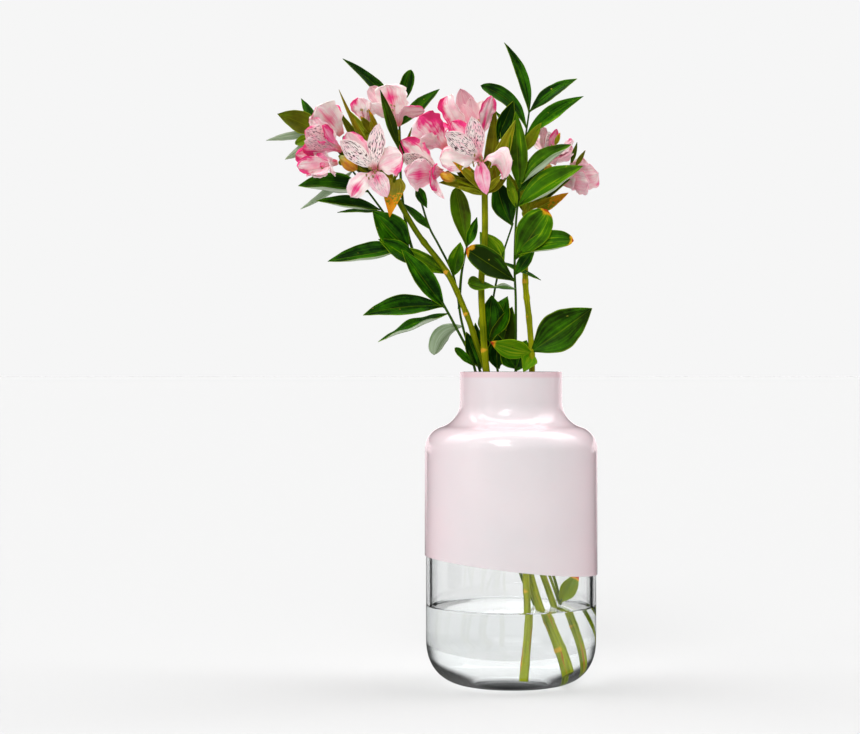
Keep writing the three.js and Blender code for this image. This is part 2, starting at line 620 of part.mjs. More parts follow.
const glass = vaseGlass();
const bodies = grown(pieces, glass);
const stemHoles = pieces.filter((piece) => piece.blades.length > 2).map((piece) => piece.firm(GAP));
const water = stemHoles.reduce((fill, hole) => fill.subtract(hole), waterFill());

const group = new THREE.Group();
group.add(meshOf("vase_glass", glass, COLOURS.glass));
group.add(meshOf("opal_layer", opalLayer(), COLOURS.opal));
group.add(meshOf("water", water, COLOURS.water));
pieces.forEach((piece, index) => group.add(meshOf(piece.name, bodies[index], piece.finish)));

export default group;
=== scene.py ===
"""Looks for cut alstroemeria stems and ruscus sprigs in a two-layer glass vase.

Tables are in millimetres, in the same frame as the CAD: the origin is the centre of the vase's
base, +Z is up, +X is to the photograph's right and -Y faces the photograph's viewer.
"""

import logging
import math
from collections.abc import Callable, Iterable, Iterator, Sequence
from contextlib import contextmanager
from dataclasses import dataclass, field
from enum import Enum
from functools import partial
from typing import ClassVar

import bpy
import numpy as np
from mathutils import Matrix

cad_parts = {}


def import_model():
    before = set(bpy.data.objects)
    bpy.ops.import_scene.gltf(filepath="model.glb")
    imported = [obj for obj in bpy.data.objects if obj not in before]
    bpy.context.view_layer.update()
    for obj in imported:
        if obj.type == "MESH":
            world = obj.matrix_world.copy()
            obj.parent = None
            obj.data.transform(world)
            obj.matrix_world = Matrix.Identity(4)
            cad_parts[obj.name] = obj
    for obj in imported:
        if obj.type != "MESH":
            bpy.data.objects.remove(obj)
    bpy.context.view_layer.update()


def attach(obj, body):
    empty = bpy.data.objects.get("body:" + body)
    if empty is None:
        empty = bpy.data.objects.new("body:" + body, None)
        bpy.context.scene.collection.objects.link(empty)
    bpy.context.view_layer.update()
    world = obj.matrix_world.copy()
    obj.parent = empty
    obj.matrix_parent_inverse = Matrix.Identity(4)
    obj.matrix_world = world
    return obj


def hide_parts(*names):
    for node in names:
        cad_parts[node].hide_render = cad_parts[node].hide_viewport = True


LOG = logging.getLogger("bouquet")
MM = 0.001
SEED = 7
MERGED = 0.002 * MM
LEAF_THICKNESS = 0.5
LEAF_DETAIL = (12, 30)
BRACT_DETAIL = (10, 26)
SMOOTH_PLANT = math.radians(50)
SMOOTH_GLASS = math.radians(40)
SOAKED_TO = 130.0
SOAKED_OVER = 60.0

Point = tuple[float, float, float]
Paint = tuple[float, float, float]
Marks = tuple[float, float, float, float]
Profile = list[tuple[float, float]]
Array = np.ndarray
Socket = bpy.types.NodeSocket
Material = bpy.types.Material
Piece = bpy.types.Object


def linear(colour: str) -> tuple[float, float, float, float]:
    """Turns an sRGB hex colour to the linear values that a shader takes.

    Args:
        colour: Six hex digits with a leading hash.

    Returns:
        Linear red, green and blue, and an alpha of 1.
    """
    shares = [int(colour[start:start + 2], 16) / 255 for start in (1, 3, 5)]
    turned = [s / 12.92 if s <= 0.04045 else ((s + 0.055) / 1.055) ** 2.4 for s in shares]
    return (*turned, 1.0)


# Shader trees


class Tree:
    """A node tree being wired."""

    def __init__(self, tree: bpy.types.NodeTree) -> None:
        """Takes the tree that gets the nodes."""
        self.tree = tree

    def add(self, kind: str, settings: dict | None = None, links: dict | None = None) -> bpy.types.Node:
        """Adds a node, sets its properties and sockets, and links what feeds it.

        Args:
            kind: Blender's type name, without its ShaderNode prefix.
            settings: Property values by name.
            links: For each input, by name or number, a value or the output socket that feeds it.

        Returns:
            The new node.
        """
        node = self.tree.nodes.new("ShaderNode" + kind)
        for name, value in (settings or {}).items():
            setattr(node, name, value)
        for name, value in (links or {}).items():
            if isinstance(value, Socket):
                self.tree.links.new(value, node.inputs[name])
            else:
                node.inputs[name].default_value = value
        return node

    def eased(self, value: object, *band: float) -> object:
        """A value, carried smoothly over a band where one is given.

        Args:
            value: A number or an output socket.
            band: Where the change starts and ends, and the results there if not 0 and 1.

        Returns:
            The value itself, or the result's socket.
        """
        if not band:
            return value
        links = dict(enumerate((value, *band)))
        return self.add("MapRange", {"interpolation_type": "SMOOTHSTEP"}, links).outputs[0]

    def total(self, value: object, weight: object, plus: object = 0.0, *band: float) -> Socket:
        """Adds a value's weight to what is there already.

        Args:
            value: A number or an output socket.
            weight: What it is multiplied by.
            plus: What the product is added to.
            band: Where the value's change starts and ends, and the results there.

        Returns:
            The total's socket.
        """
        links = {0: self.eased(value, *band), 1: weight, 2: plus}
        return self.add("Math", {"operation": "MULTIPLY_ADD"}, links).outputs[0]

    def layer(self, value: object, below: object, above: object, *band: float) -> Socket:
        """Lays a colour over another, as far as a value says.

        Args:
            value: How far the upper colour covers, as a number or a socket.
            below: A hex colour or an output socket.
            above: A hex colour or an output socket.
            band: Where the value's change starts and ends, and the results there.

        Returns:
            The mixed colour's socket.
        """
        colours = [linear(c) if isinstance(c, str) else c for c in (below, above)]
        links = {0: self.eased(value, *band), 6: colours[0], 7: colours[1]}
        return self.add("Mix", {"data_type": "RGBA"}, links).outputs[2]


class Shader(Tree):
    """A material being wired: its surface node, its patterns and what its piece stores."""

    def __init__(self, name: str, surface: dict[str, object]) -> None:
        """Starts a material with one surface node.

        Args:
            name: The material's name.
            surface: Values for the surface node's own sockets.
        """
        self.material = bpy.data.materials.new(name)
        self.material.use_nodes = True
        super().__init__(self.material.node_tree)
        self.surface = self.tree.nodes["Principled BSDF"]
        for socket, value in surface.items():
            self.surface.inputs[socket].default_value = value

    def cells(self, size: float, detail: float = 3, roughness: float = 0.5) -> Socket:
        """A noise pattern through the object, fixed in its place.

        Args:
            size: How wide its cells are, in millimetres.
            detail: How many finer layers it has.
            roughness: How strong the finer layers are.

        Returns:
            The pattern's value, about a half on average.
        """
        place = self.add("TexCoord").outputs["Object"]
        links = {"Vector": place, "Scale": 1 / (size * MM), "Detail": detail, "Roughness": roughness}
        return self.add("TexNoise", None, links).outputs["Fac"]

    def blade(self) -> list[Socket]:
        """A blade's own coordinates, which its sheet was made with.

        Returns:
            Across from -1 to 1, along from root to tip, and off the midrib without a sign.
        """
        place = self.add("TexCoord").outputs["UV"]
        share, along, _ = self.add("SeparateXYZ", None, {0: place}).outputs
        across = self.total(share, 2.0, -1.0)
        return [across, along, self.add("Math", {"operation": "ABSOLUTE"}, {0: across}).outputs[0]]

    def lines(
        self, blade: list, wide: float, long: float, detail: float = 3, roughness: float = 0.5
    ) -> Socket:
        """A pattern of fine lines along a blade, which starts elsewhere on each blade.

        Args:
            blade: The blade's own coordinates.
            wide: How many lines there are over half the width.
            long: How often they change over the length.
            detail: How many finer layers the pattern has.
            roughness: How strong the finer layers are.

        Returns:
            The pattern's value.
        """
        lot = self.add("Attribute", {"attribute_type": "GEOMETRY", "attribute_name": "lot"}).outputs["Fac"]
        place = {0: self.total(blade[0], wide), 1: self.total(blade[1], long), 2: self.total(lot, 40.0)}
        vector = self.add("CombineXYZ", None, place).outputs[0]
        links = {"Vector": vector, "Scale": 1.0, "Detail": detail, "Roughness": roughness}
        return self.add("TexNoise", None, links).outputs["Fac"]

    def stored(self, name: str) -> list[Socket]:
        """The four values that the piece stores on its points under a name."""
        node = self.add("Attribute", {"attribute_type": "GEOMETRY", "attribute_name": name})
        return [*self.add("SeparateXYZ", None, {0: node.outputs["Vector"]}).outputs, node.outputs["Alpha"]]

    def paint(self) -> list[Socket]:
        """The three values that the piece's paint gives its finish."""
        return self.stored("paint")[:3]

    def feed(self, value: object, socket: str) -> None:
        """Links a value to one of the surface's sockets."""
        self.tree.links.new(value, self.surface.inputs[socket])

    def colour(self, value: object) -> None:
        """Links the surface's colour."""
        self.feed(value, "Base Color")

    def bump(self, height: object, depth: float, strength: float = 1.0) -> None:
        """Raises the surface by a pattern.

        Args:
            height: The pattern's socket, from 0 to 1.
            depth: What a height of 1 stands for, in millimetres.
            strength: How much of it shows.
        """
        links = {"Height": height, "Distance": depth * MM, "Strength": strength}
        self.feed(self.add("Bump", None, links).outputs[0], "Normal")


@dataclass(frozen=True)
class ClearGlass:
    """Soda-lime glass, blown and fire-polished: clear, and a smoky grey through its thick parts.

    Sizes in the finishes are in millimetres: how wide the cells of each pattern are.
    """

    tint: str = "#FFFFFF"
    cool: str = "#FCFEFE"
    smoke: str = "#3A4448"
    density: float = 4.5
    ior: float = 1.52
    haze: float = 111.1
    draw: float = 45.45

    def material(self) -> Material:
        """Wires the finish: faint draw lines from the blowing, and light lost with depth.

        Returns:
            The material.
        """
        surface = {"Roughness": 0.0, "IOR": self.ior, "Transmission Weight": 1.0}
        shader = Shader("clear_soda_lime_glass", surface)
        shader.colour(shader.layer(shader.cells(self.haze), self.tint, self.cool))
        shader.bump(shader.cells(self.draw, 1), 0.05, 0.25)
        depth = shader.add("VolumeAbsorption", None, {"Color": linear(self.smoke), "Density": self.density})
        shader.tree.links.new(depth.outputs[0], shader.tree.nodes["Material Output"].inputs["Volume"])
        return shader.material


@dataclass(frozen=True)
class OpalGlass:
    """Opal glass, cased over the clear: milky pale pink under a deep gloss.

    The lip is the band below the rim where the pink comes in stronger, between two heights.
    """

    centre: str = "#F2FCFA"
    cloud: str = "#ECF8F6"
    blush: str = "#F8E6EA"
    lip: str = "#F2E8E9"
    lip_low: float = 265.2
    lip_high: float = 267.9
    clouds: float = 62.5
    draw: float = 33.33

    def material(self) -> Material:
        """Wires the finish: the faintest clouds in the milk, and a pinker lip.

        The tint lies in the coat, so the pink deepens where the layer is seen on a slant.

        Returns:
            The material.
        """
        surface = {
            "Roughness": 0.08,
            "IOR": 1.5,
            "Coat Weight": 1.0,
            "Coat Roughness": 0.05,
            "Coat IOR": 1.16,
            "Coat Tint": linear(self.blush),
            "Subsurface Weight": 0.3,
            "Subsurface Radius": (1.0, 0.7, 0.74),
            "Subsurface Scale": 3.0 * MM,
        }
        shader = Shader("pink_opal_glass", surface)
        milk = shader.layer(shader.cells(self.clouds, 2), self.centre, self.cloud, 0.3, 0.75)
        place = shader.add("TexCoord").outputs["Object"]
        height = shader.add("SeparateXYZ", None, {0: place}).outputs[2]
        shader.colour(shader.layer(height, milk, self.lip, self.lip_low * MM, self.lip_high * MM))
        shader.bump(shader.cells(self.draw, 1), 0.05, 0.12)
        return shader.material


@dataclass(frozen=True)
class StillWater:
    """Tap water, still and clear."""

    tint: str = "#FFFFFF"
    cool: str = "#FBFEFE"
    ior: float = 1.333
    ripple: float = 28.57

    def material(self) -> Material:
        """Wires the finish: a surface with the least ripple.

        Returns:
            The material.
        """
        surface = {"Roughness": 0.0, "IOR": self.ior, "Transmission Weight": 1.0}
        shader = Shader("still_water", surface)
        ripple = shader.cells(self.ripple, 1)
        shader.colour(shader.layer(ripple, self.tint, self.cool))
        shader.bump(ripple, 0.04, 0.2)
        return shader.material


@dataclass(frozen=True)
class LeafUpper:
    """A leathery leaf's upper face: waxy, with close parallel veins that run to the tip.

    The piece's paint says how bright the leaf is, how olive, and how far its tip is scorched.
    """

    name: str = "ruscus_leaf_upper"
    dark: str = "#0B2C00"
    bright: str = "#448F00"
    # The pale yellow-green of the rib, and of the painted glint and the painted sheen at the edge.
    light: str = "#98B414"
    olive: str = "#7F7A0C"
    scorch: str = "#E5A81C"
    burnt: str = "#C23A1A"
    mottle: float = 0.0
    speck: str = "#B7B33A"
    patches: float = 13.33
    specks: float = 3.03
    speckle: float = 2.381

    def green(self, shader: Shader, blade: list, patches: object) -> Socket:
        """The leaf's green: patches, veins and broad streaks add up to how bright it is, and a painted glint
        of pale yellow-green lies on the veins where it is brightest.

        Args:
            shader: The material.
            blade: The blade's own coordinates.
            patches: The pattern of the patches.

        Returns:
            The colour's socket.
        """
        tone, olive, _ = shader.paint()
        veins = shader.lines(blade, 10.0, 1.2)
        share = shader.total(patches, 0.5, tone, 0.25, 0.8)
        share = shader.total(veins, 0.38, share, 0.35, 0.75)
        share = shader.total(shader.lines(blade, 1.3, 1.4, 2), 0.6, share, 0.3, 0.75)
        share = shader.total(share, 1.0, -0.72)
        green = shader.layer(share, self.dark, self.bright)
        # Painted glint: pale yellow-green on the veins where the leaf is brightest, standing in for
        # highlights.
        painted_glint = shader.total(share, shader.eased(veins, 0.45, 0.7), 0.0, 0.55, 1.1)
        green = shader.layer(painted_glint, green, self.light)
        spread = shader.total(patches, olive, 0.0, 0.2, 0.7, 0.5, 1.0)
        return shader.layer(spread, green, self.olive)

    def material(self) -> Material:
        """Wires the finish: the green with its painted glint, a pale rib, a painted sheen along the edge,
        specks, and a yellow or red tip.

        Returns:
            The material.
        """
        shader = Shader(self.name, {"Roughness": 0.46, "Specular IOR Level": 0.07})
        blade = shader.blade()
        patches = shader.cells(self.patches, 4, 0.6)
        off_rib = blade[2]
        green = self.green(shader, blade, patches)
        green = shader.layer(off_rib, green, self.light, 0.0, 0.05, 0.22, 0.0)
        # Painted sheen: a pale band along both margins, standing in for light caught on the edges.
        green = shader.layer(off_rib, green, self.light, 0.93, 1.0, 0.0, 0.5)
        specks = shader.eased(shader.cells(self.specks, 0), 0.85, 0.88, 0.0, 0.6)
        green = shader.layer(specks, green, self.speck)
        fine = shader.eased(shader.cells(self.speckle, 1), 0.3, 0.7, -self.mottle, self.mottle)
        reach = shader.total(shader.total(patches, 0.3, blade[1]), 1.0, fine)
        burning = shader.total(shader.total(shader.paint()[2], -0.3, 1.3), -1.0, reach)
        tip = shader.layer(burning, self.scorch, self.burnt, 0.05, 0.1)
        shader.colour(shader.layer(burning, green, tip, 0.0, 0.05))
        shader.feed(shader.eased(patches, 0.3, 0.7, 0.4, 0.58), "Roughness")
        shader.bump(shader.lines(blade, 12.0, 0.5, 1), 0.4, 0.7)
        return shader.material


@dataclass(frozen=True)
class LeafUnder:
    """The same leaf's underside: matt, pale grey-green towards the edges, veins a little darker.

    Where the paint's second value is below zero, the whole underside stays pale.
    """

    pale: str = "#BFCBB4"
    vein: str = "#7E9868"
    green: str = "#4E7A26"

    def material(self) -> Material:
        """Wires the finish: fine parallel veins on a pale bloom, greener along the middle.

        Returns:
            The material.
        """
        shader = Shader("ruscus_leaf_underside", {"Roughness": 0.55, "Specular IOR Level": 0.25})
        blade = shader.blade()
        veins = shader.lines(blade, 12.0, 1.0)
        bloom = shader.layer(veins, self.pale, self.vein, 0.35, 0.75)
        inward = shader.eased(blade[2], 0.85, 0.45, 0.0, 0.94)
        inward = shader.total(shader.paint()[1], inward, 0.0, -1.0, -0.5, 0.35, 1.0)
        shader.colour(shader.layer(inward, bloom, self.green))
        shader.bump(veins, 0.3, 0.4)
        return shader.material


@dataclass(frozen=True)
class Petal:
    """An alstroemeria petal: thin, satin, finely veined, with light passing through it.

    The piece's paint says how pink the petal is, how densely it is streaked, and how far a hot pink flare
    comes in from its margin.
    Its marks place the flare, a hot patch on the midrib, and how far painted shade dulls its pink.
    """

    cream: str = "#FBEDE8"
    pink: str = "#F27BAB"
    # Painted shade: the greyer rose that dulls petals which lie in shade.
    painted_shade_pink: str = "#D0919D"
    hot: str = "#EE2F82"
    crimson: str = "#C21E4B"
    streak: str = "#4A1626"
    throat: str = "#DB4A50"
    clouds: float = 7.69

    def ground(self, shader: Shader, blade: list, veins: object, clouds: object) -> Socket:
        """The petal's ground colour: cream to pink, dulled by painted shade, with a hot midrib and a red
        root.

        Args:
            shader: The material.
            blade: The blade's own coordinates.
            veins: The pattern of the veins.
            clouds: The pattern of the clouds.

        Returns:
            The colour's socket.
        """
        along = blade[1]
        blush = shader.paint()[0]
        painted_shade = shader.stored("marks")[2]
        share = shader.total(veins, 0.45, blush, 0.35, 0.75)
        share = shader.total(clouds, 0.4, share, 0.35, 0.7)
        base = shader.layer(shader.total(share, 1.0, -0.3), self.cream, self.pink)
        # Painted shade: where a petal's marks say so, its pink is dulled to a greyer rose along the veins.
        base = shader.layer(shader.total(veins, painted_shade, 0.0, 0.2, 0.7, 0.6, 1.0), base, self.painted_shade_pink)
        line = shader.eased(blade[2], 0.0, 0.2, 0.45, 0.0)
        line = shader.total(along, line, 0.0, 0.98, 0.5)
        base = shader.layer(shader.total(blush, line, 0.0, 0.0, 0.6, 0.3, 1.0), base, self.hot)
        return shader.layer(shader.total(along, 0.75, 0.0, 0.34, 0.04), base, self.throat)

    def flared(self, shader: Shader, base: object, blade: list, veins: object, clouds: object) -> Socket:
        """Adds the flare from the margin and the patch on the midrib.

        Args:
            shader: The material.
            base: The colour below them.
            blade: The blade's own coordinates.
            veins: The pattern of the veins.
            clouds: The pattern of the clouds.

        Returns:
            The colour's socket.
        """
        across, along, off_rib = blade
        flare = shader.paint()[2]
        side, core, _, heart = shader.stored("marks")
        one_side = shader.add("Math", {"operation": "ABSOLUTE"}, {0: side}).outputs[0]
        even = shader.total(off_rib, shader.total(one_side, -1.0, 1.0))
        margin = shader.total(shader.total(across, side, even), 0.55, along)
        margin = shader.total(veins, 0.7, shader.total(clouds, 0.9, margin))
        past = shader.total(shader.total(flare, -0.78, 2.5), -1.0, margin)
        inside = shader.total(past, shader.eased(flare, 0.0, 0.15), 0.0, -0.12, 0.3)
        base = shader.layer(inside, base, self.hot)
        deep = shader.total(past, shader.eased(flare, 0.5, 1.0), 0.0, 0.3, 0.55, 0.0, 0.5)
        base = shader.layer(deep, base, self.crimson)
        past_heart = shader.total(heart, -1.0, along)
        apart = shader.add("Math", {"operation": "ABSOLUTE"}, {0: past_heart}).outputs[0]
        spot = shader.total(off_rib, 0.42, shader.total(apart, 0.95))
        spot = shader.eased(shader.total(veins, -0.45, spot), 0.1, -0.2)
        return shader.layer(shader.total(spot, core), base, self.hot)

    def material(self) -> Material:
        """Wires the finish: veins, a deeper centre line, flares at the margin and dark dashes.

        Returns:
            The material.
        """
        surface = {
            "Roughness": 0.55,
            "Subsurface Weight": 0.15,
            "Subsurface Radius": (1.0, 0.45, 0.5),
            "Subsurface Scale": 0.8 * MM,
            "Sheen Weight": 0.08,
            "Specular IOR Level": 0.3,
        }
        shader = Shader("alstroemeria_petal", surface)
        blade = shader.blade()
        veins = shader.lines(blade, 9.0, 1.4, 4, 0.6)
        clouds = shader.cells(self.clouds)
        base = self.ground(shader, blade, veins, clouds)
        base = self.flared(shader, base, blade, veins, clouds)
        dashed = shader.eased(shader.lines(blade, 13.0, 15.0, 0), 0.59, 0.64)
        band = shader.total(blade[1], shader.eased(blade[1], 1.0, 0.9), 0.0, 0.22, 0.4)
        band = shader.total(blade[2], band, 0.0, 0.97, 0.85)
        dashed = shader.total(shader.total(dashed, band), shader.paint()[1])
        shader.colour(shader.layer(dashed, base, self.streak))
        shader.bump(veins, 0.35, 0.7)
        return shader.material


@dataclass(frozen=True)
class StemSkin:
    """A stem's waxy skin, with fine lengthwise fibres and yellow-brown scars where leaves grew.

    The piece's paint says how light the stem is, where its scars are, and how far it is soaked.
    """

    name: str
    green: str
    light: str
    scar: str = "#D8A02C"
    # The soaked foot's pale yellow-green: partly the stem's own pallor in the water, partly painted light
    # for the stems inside the vase.
    soaked: str = "#8F9C20"
    rust: str = "#A34A22"
    patches: float = 16.67

    def material(self) -> Material:
        """Wires the finish: fibres over patches of two greens, the soaked foot, paler partly through painted
        light, and the scars.

        Returns:
            The material.
        """
        shader = Shader(self.name, {"Roughness": 0.42, "Specular IOR Level": 0.05})
        tone, scar, soaked = shader.paint()
        fibres = shader.lines(shader.blade(), 6.0, 9.0)
        share = shader.total(fibres, 0.45, tone, 0.3, 0.75)
        share = shader.total(shader.cells(self.patches), 0.4, share, 0.3, 0.7)
        green = shader.layer(shader.total(share, 1.0, -0.4), self.green, self.light)
        # Soaked foot: paler and yellower, partly the stem's own pallor and partly painted light.
        wet = shader.total(fibres, soaked, 0.0, 0.35, 0.6, 0.1, 0.95)
        green = shader.layer(wet, green, self.soaked)
        red = shader.total(fibres, soaked, 0.0, 0.6, 0.68, 0.0, 0.8)
        green = shader.layer(red, green, self.rust)
        ragged = shader.eased(shader.total(fibres, 0.6, scar), 0.72, 1.05, 0.0, 0.95)
        shader.colour(shader.layer(ragged, green, self.scar))
        shader.bump(fibres, 0.25, 0.5)
        return shader.material


@dataclass(frozen=True)
class BudSkin:
    """A closed flower bud: waxy yellow, orange in its folds, green towards the stalk."""

    yellow: str = "#E2AE17"
    orange: str = "#B96A0C"
    green: str = "#7E8A1C"

    def material(self) -> Material:
        """Wires the finish: lengthwise folds and the change of colour from stalk to tip.

        Returns:
            The material.
        """
        surface = {"Roughness": 0.42, "Subsurface Weight": 0.1, "Subsurface Scale": 1.0 * MM}
        shader = Shader("flower_bud", surface)
        blade = shader.blade()
        folds = shader.lines(blade, 5.0, 2.0)
        base = shader.layer(folds, self.yellow, self.orange, 0.35, 0.7)
        shader.colour(shader.layer(blade[1], base, self.green, 0.42, 0.05))
        shader.bump(folds, 0.4, 0.6)
        return shader.material


@dataclass(frozen=True)
class StamenSkin:
    """Stamens: fleshy pink threads, each with a dull olive anther of pollen."""

    thread: str = "#E88496"
    fleck: str = "#F4B4BF"
    anther: str = "#8E7A3A"
    grain: float = 1.111

    def material(self) -> Material:
        """Wires the finish: the paint's first value tells the thread from the anther.

        Returns:
            The material.
        """
        shader = Shader("alstroemeria_stamen", {"Roughness": 0.5})
        grain = shader.cells(self.grain, 2)
        thread = shader.layer(grain, self.thread, self.fleck, 0.3, 0.8)
        shader.colour(shader.layer(shader.paint()[0], thread, self.anther))
        shader.bump(grain, 0.15, 0.5)
        return shader.material


@dataclass(frozen=True)
class Matt:
    """A matt stage surface with a faint grain: the paper floor, or a studio's black card."""

    name: str
    colour: str
    fibre: str
    grain: float
    roughness: float
    specular: float

    def material(self) -> Material:
        """Wires the finish: two near shades, mixed by the grain.

        Returns:
            The material.
        """
        shader = Shader(self.name, {"Roughness": self.roughness, "Specular IOR Level": self.specular})
        shader.colour(shader.layer(shader.cells(self.grain, 2), self.colour, self.fibre))
        return shader.material


# Uncoated white paper, and black-dyed card.
PAPER = Matt("floor_paper", "#BFBFBF", "#BEBEBE", 4.545, 0.9, 0.0)
CARD = Matt("black_card", "#141617", "#1D2021", 11.11, 0.95, 0.1)


# Shapes


def unit(vectors: Array) -> Array:
    """Scales each vector to length one."""
    return vectors / np.maximum(np.linalg.norm(vectors, axis=-1, keepdims=True), 1e-9)


def turned(vector: Array, axis: Array, degrees: float | Array) -> Array:
    """Turns vectors about an axis.

    Args:
        vector: One vector or one per row.
        axis: A unit vector, or one per row.
        degrees: The angle, or one per row.

    Returns:
        The turned vectors.
    """
    angle = np.radians(degrees)[..., None] if isinstance(degrees, np.ndarray) else math.radians(degrees)
    along = np.sum(vector * axis, axis=-1, keepdims=True) * axis
    return along + (vector - along) * np.cos(angle) + np.cross(axis, vector) * np.sin(angle)


def bezier(points: Sequence[Array], share: Array) -> tuple[Array, Array]:
    """Points and directions on a Bezier curve.

    Args:
        points: The curve's control points.
        share: Places along it, from 0 to 1.

    Returns:
        The point at each place, and the unit direction there.
    """
    t = share[:, None]
    level = [np.asarray(p, float)[None, :] + 0 * t for p in points]
    while len(level) > 2:
        level = [a * (1 - t) + b * t for a, b in zip(level, level[1:])]
    return level[0] * (1 - t) + level[1] * t, unit(level[1] - level[0])


def lengths(route: Array) -> Array:
    """How far along a route each of its points lies."""
    return np.concatenate([[0], np.cumsum(np.linalg.norm(np.diff(route, axis=0), axis=1))])


def soaked(height: Array) -> Array:
    """How far a stem is soaked at heights in millimetres: fully in the water, not at all above."""
    return np.clip((SOAKED_TO - height) / SOAKED_OVER, 0, 1)


def smooth_route(points: Sequence[Point], per_span: int) -> Array:
    """A curve through all the points, even where they lie unevenly.

    Args:
        points: Where the curve goes through.
        per_span: How many steps each gap between two points gets.

    Returns:
        Points along the curve.
    """
    p = np.array(points, float)
    p = np.vstack([2 * p[0] - p[1], p, 2 * p[-1] - p[-2]])
    made = []
    for i in range(1, len(p) - 2):
        gaps = [max(np.linalg.norm(p[i + k] - p[i + k - 1]) ** 0.5, 1e-4) for k in range(3)]
        t0, t1 = 0.0, gaps[0]
        t2, t3 = t1 + gaps[1], t1 + gaps[1] + gaps[2]
        for t in np.linspace(t1, t2, per_span, endpoint=False):
            a1 = (t1 - t) / (t1 - t0) * p[i - 1] + (t - t0) / (t1 - t0) * p[i]
            a2 = (t2 - t) / (t2 - t1) * p[i] + (t - t1) / (t2 - t1) * p[i + 1]
            a3 = (t3 - t) / (t3 - t2) * p[i + 1] + (t - t2) / (t3 - t2) * p[i + 2]
            b1 = (t2 - t) / (t2 - t0) * a1 + (t - t0) / (t2 - t0) * a2
            b2 = (t3 - t) / (t3 - t1) * a2 + (t - t1) / (t3 - t1) * a3
            made.append((t2 - t) / (t2 - t1) * b1 + (t - t1) / (t2 - t1) * b2)
    made.append(p[-2])
    return np.array(made)


@dataclass(frozen=True)
class Taper:
    """How a blade's width runs: at its root, up to its widest place, and down to its tip.

    Attributes:
        root: The share of the full width at the root.
        widest: Where along the blade it is widest.
        rise: How late it widens.
        full: How long it stays wide.
        point: How pointed the tip is: a half is round, one is pointed.
    """

    root: float
    widest: float
    rise: float
    full: float
    point: float

    def share(self, along: Array) -> Array:
        """The share of the full width at places along the blade.

        Args:
            along: Places from root to tip, from 0 to 1.

        Returns:
            The share at each place.
        """
        up = np.sin(np.pi / 2 * np.clip(along / self.widest, 0, 1)) ** self.rise
        past = np.clip((along - self.widest) / (1 - self.widest), 0, 1)
        return (self.root + (1 - self.root) * up) * np.clip(1 - past ** self.full, 0, 1) ** self.point


class Outline(Enum):
    """The outlines that leaves and petals have."""

    RUSCUS = Taper(0.06, 0.46, 1.15, 1.75, 1.0)
    BLUNT = Taper(0.06, 0.6, 1.3, 2.4, 0.62)
    STRAP = Taper(0.35, 0.4, 1.0, 1.9, 1.0)
    SLIM = Taper(0.12, 0.42, 1.0, 1.8, 1.0)
    BRACT = Taper(0.5, 0.3, 1.0, 1.35, 1.0)
    OUTER = Taper(0.12, 0.74, 3.2, 2.6, 0.5)
    INNER = Taper(0.16, 0.7, 3.0, 2.0, 0.75)
    FAN = Taper(0.2, 0.78, 1.5, 3.2, 0.5)


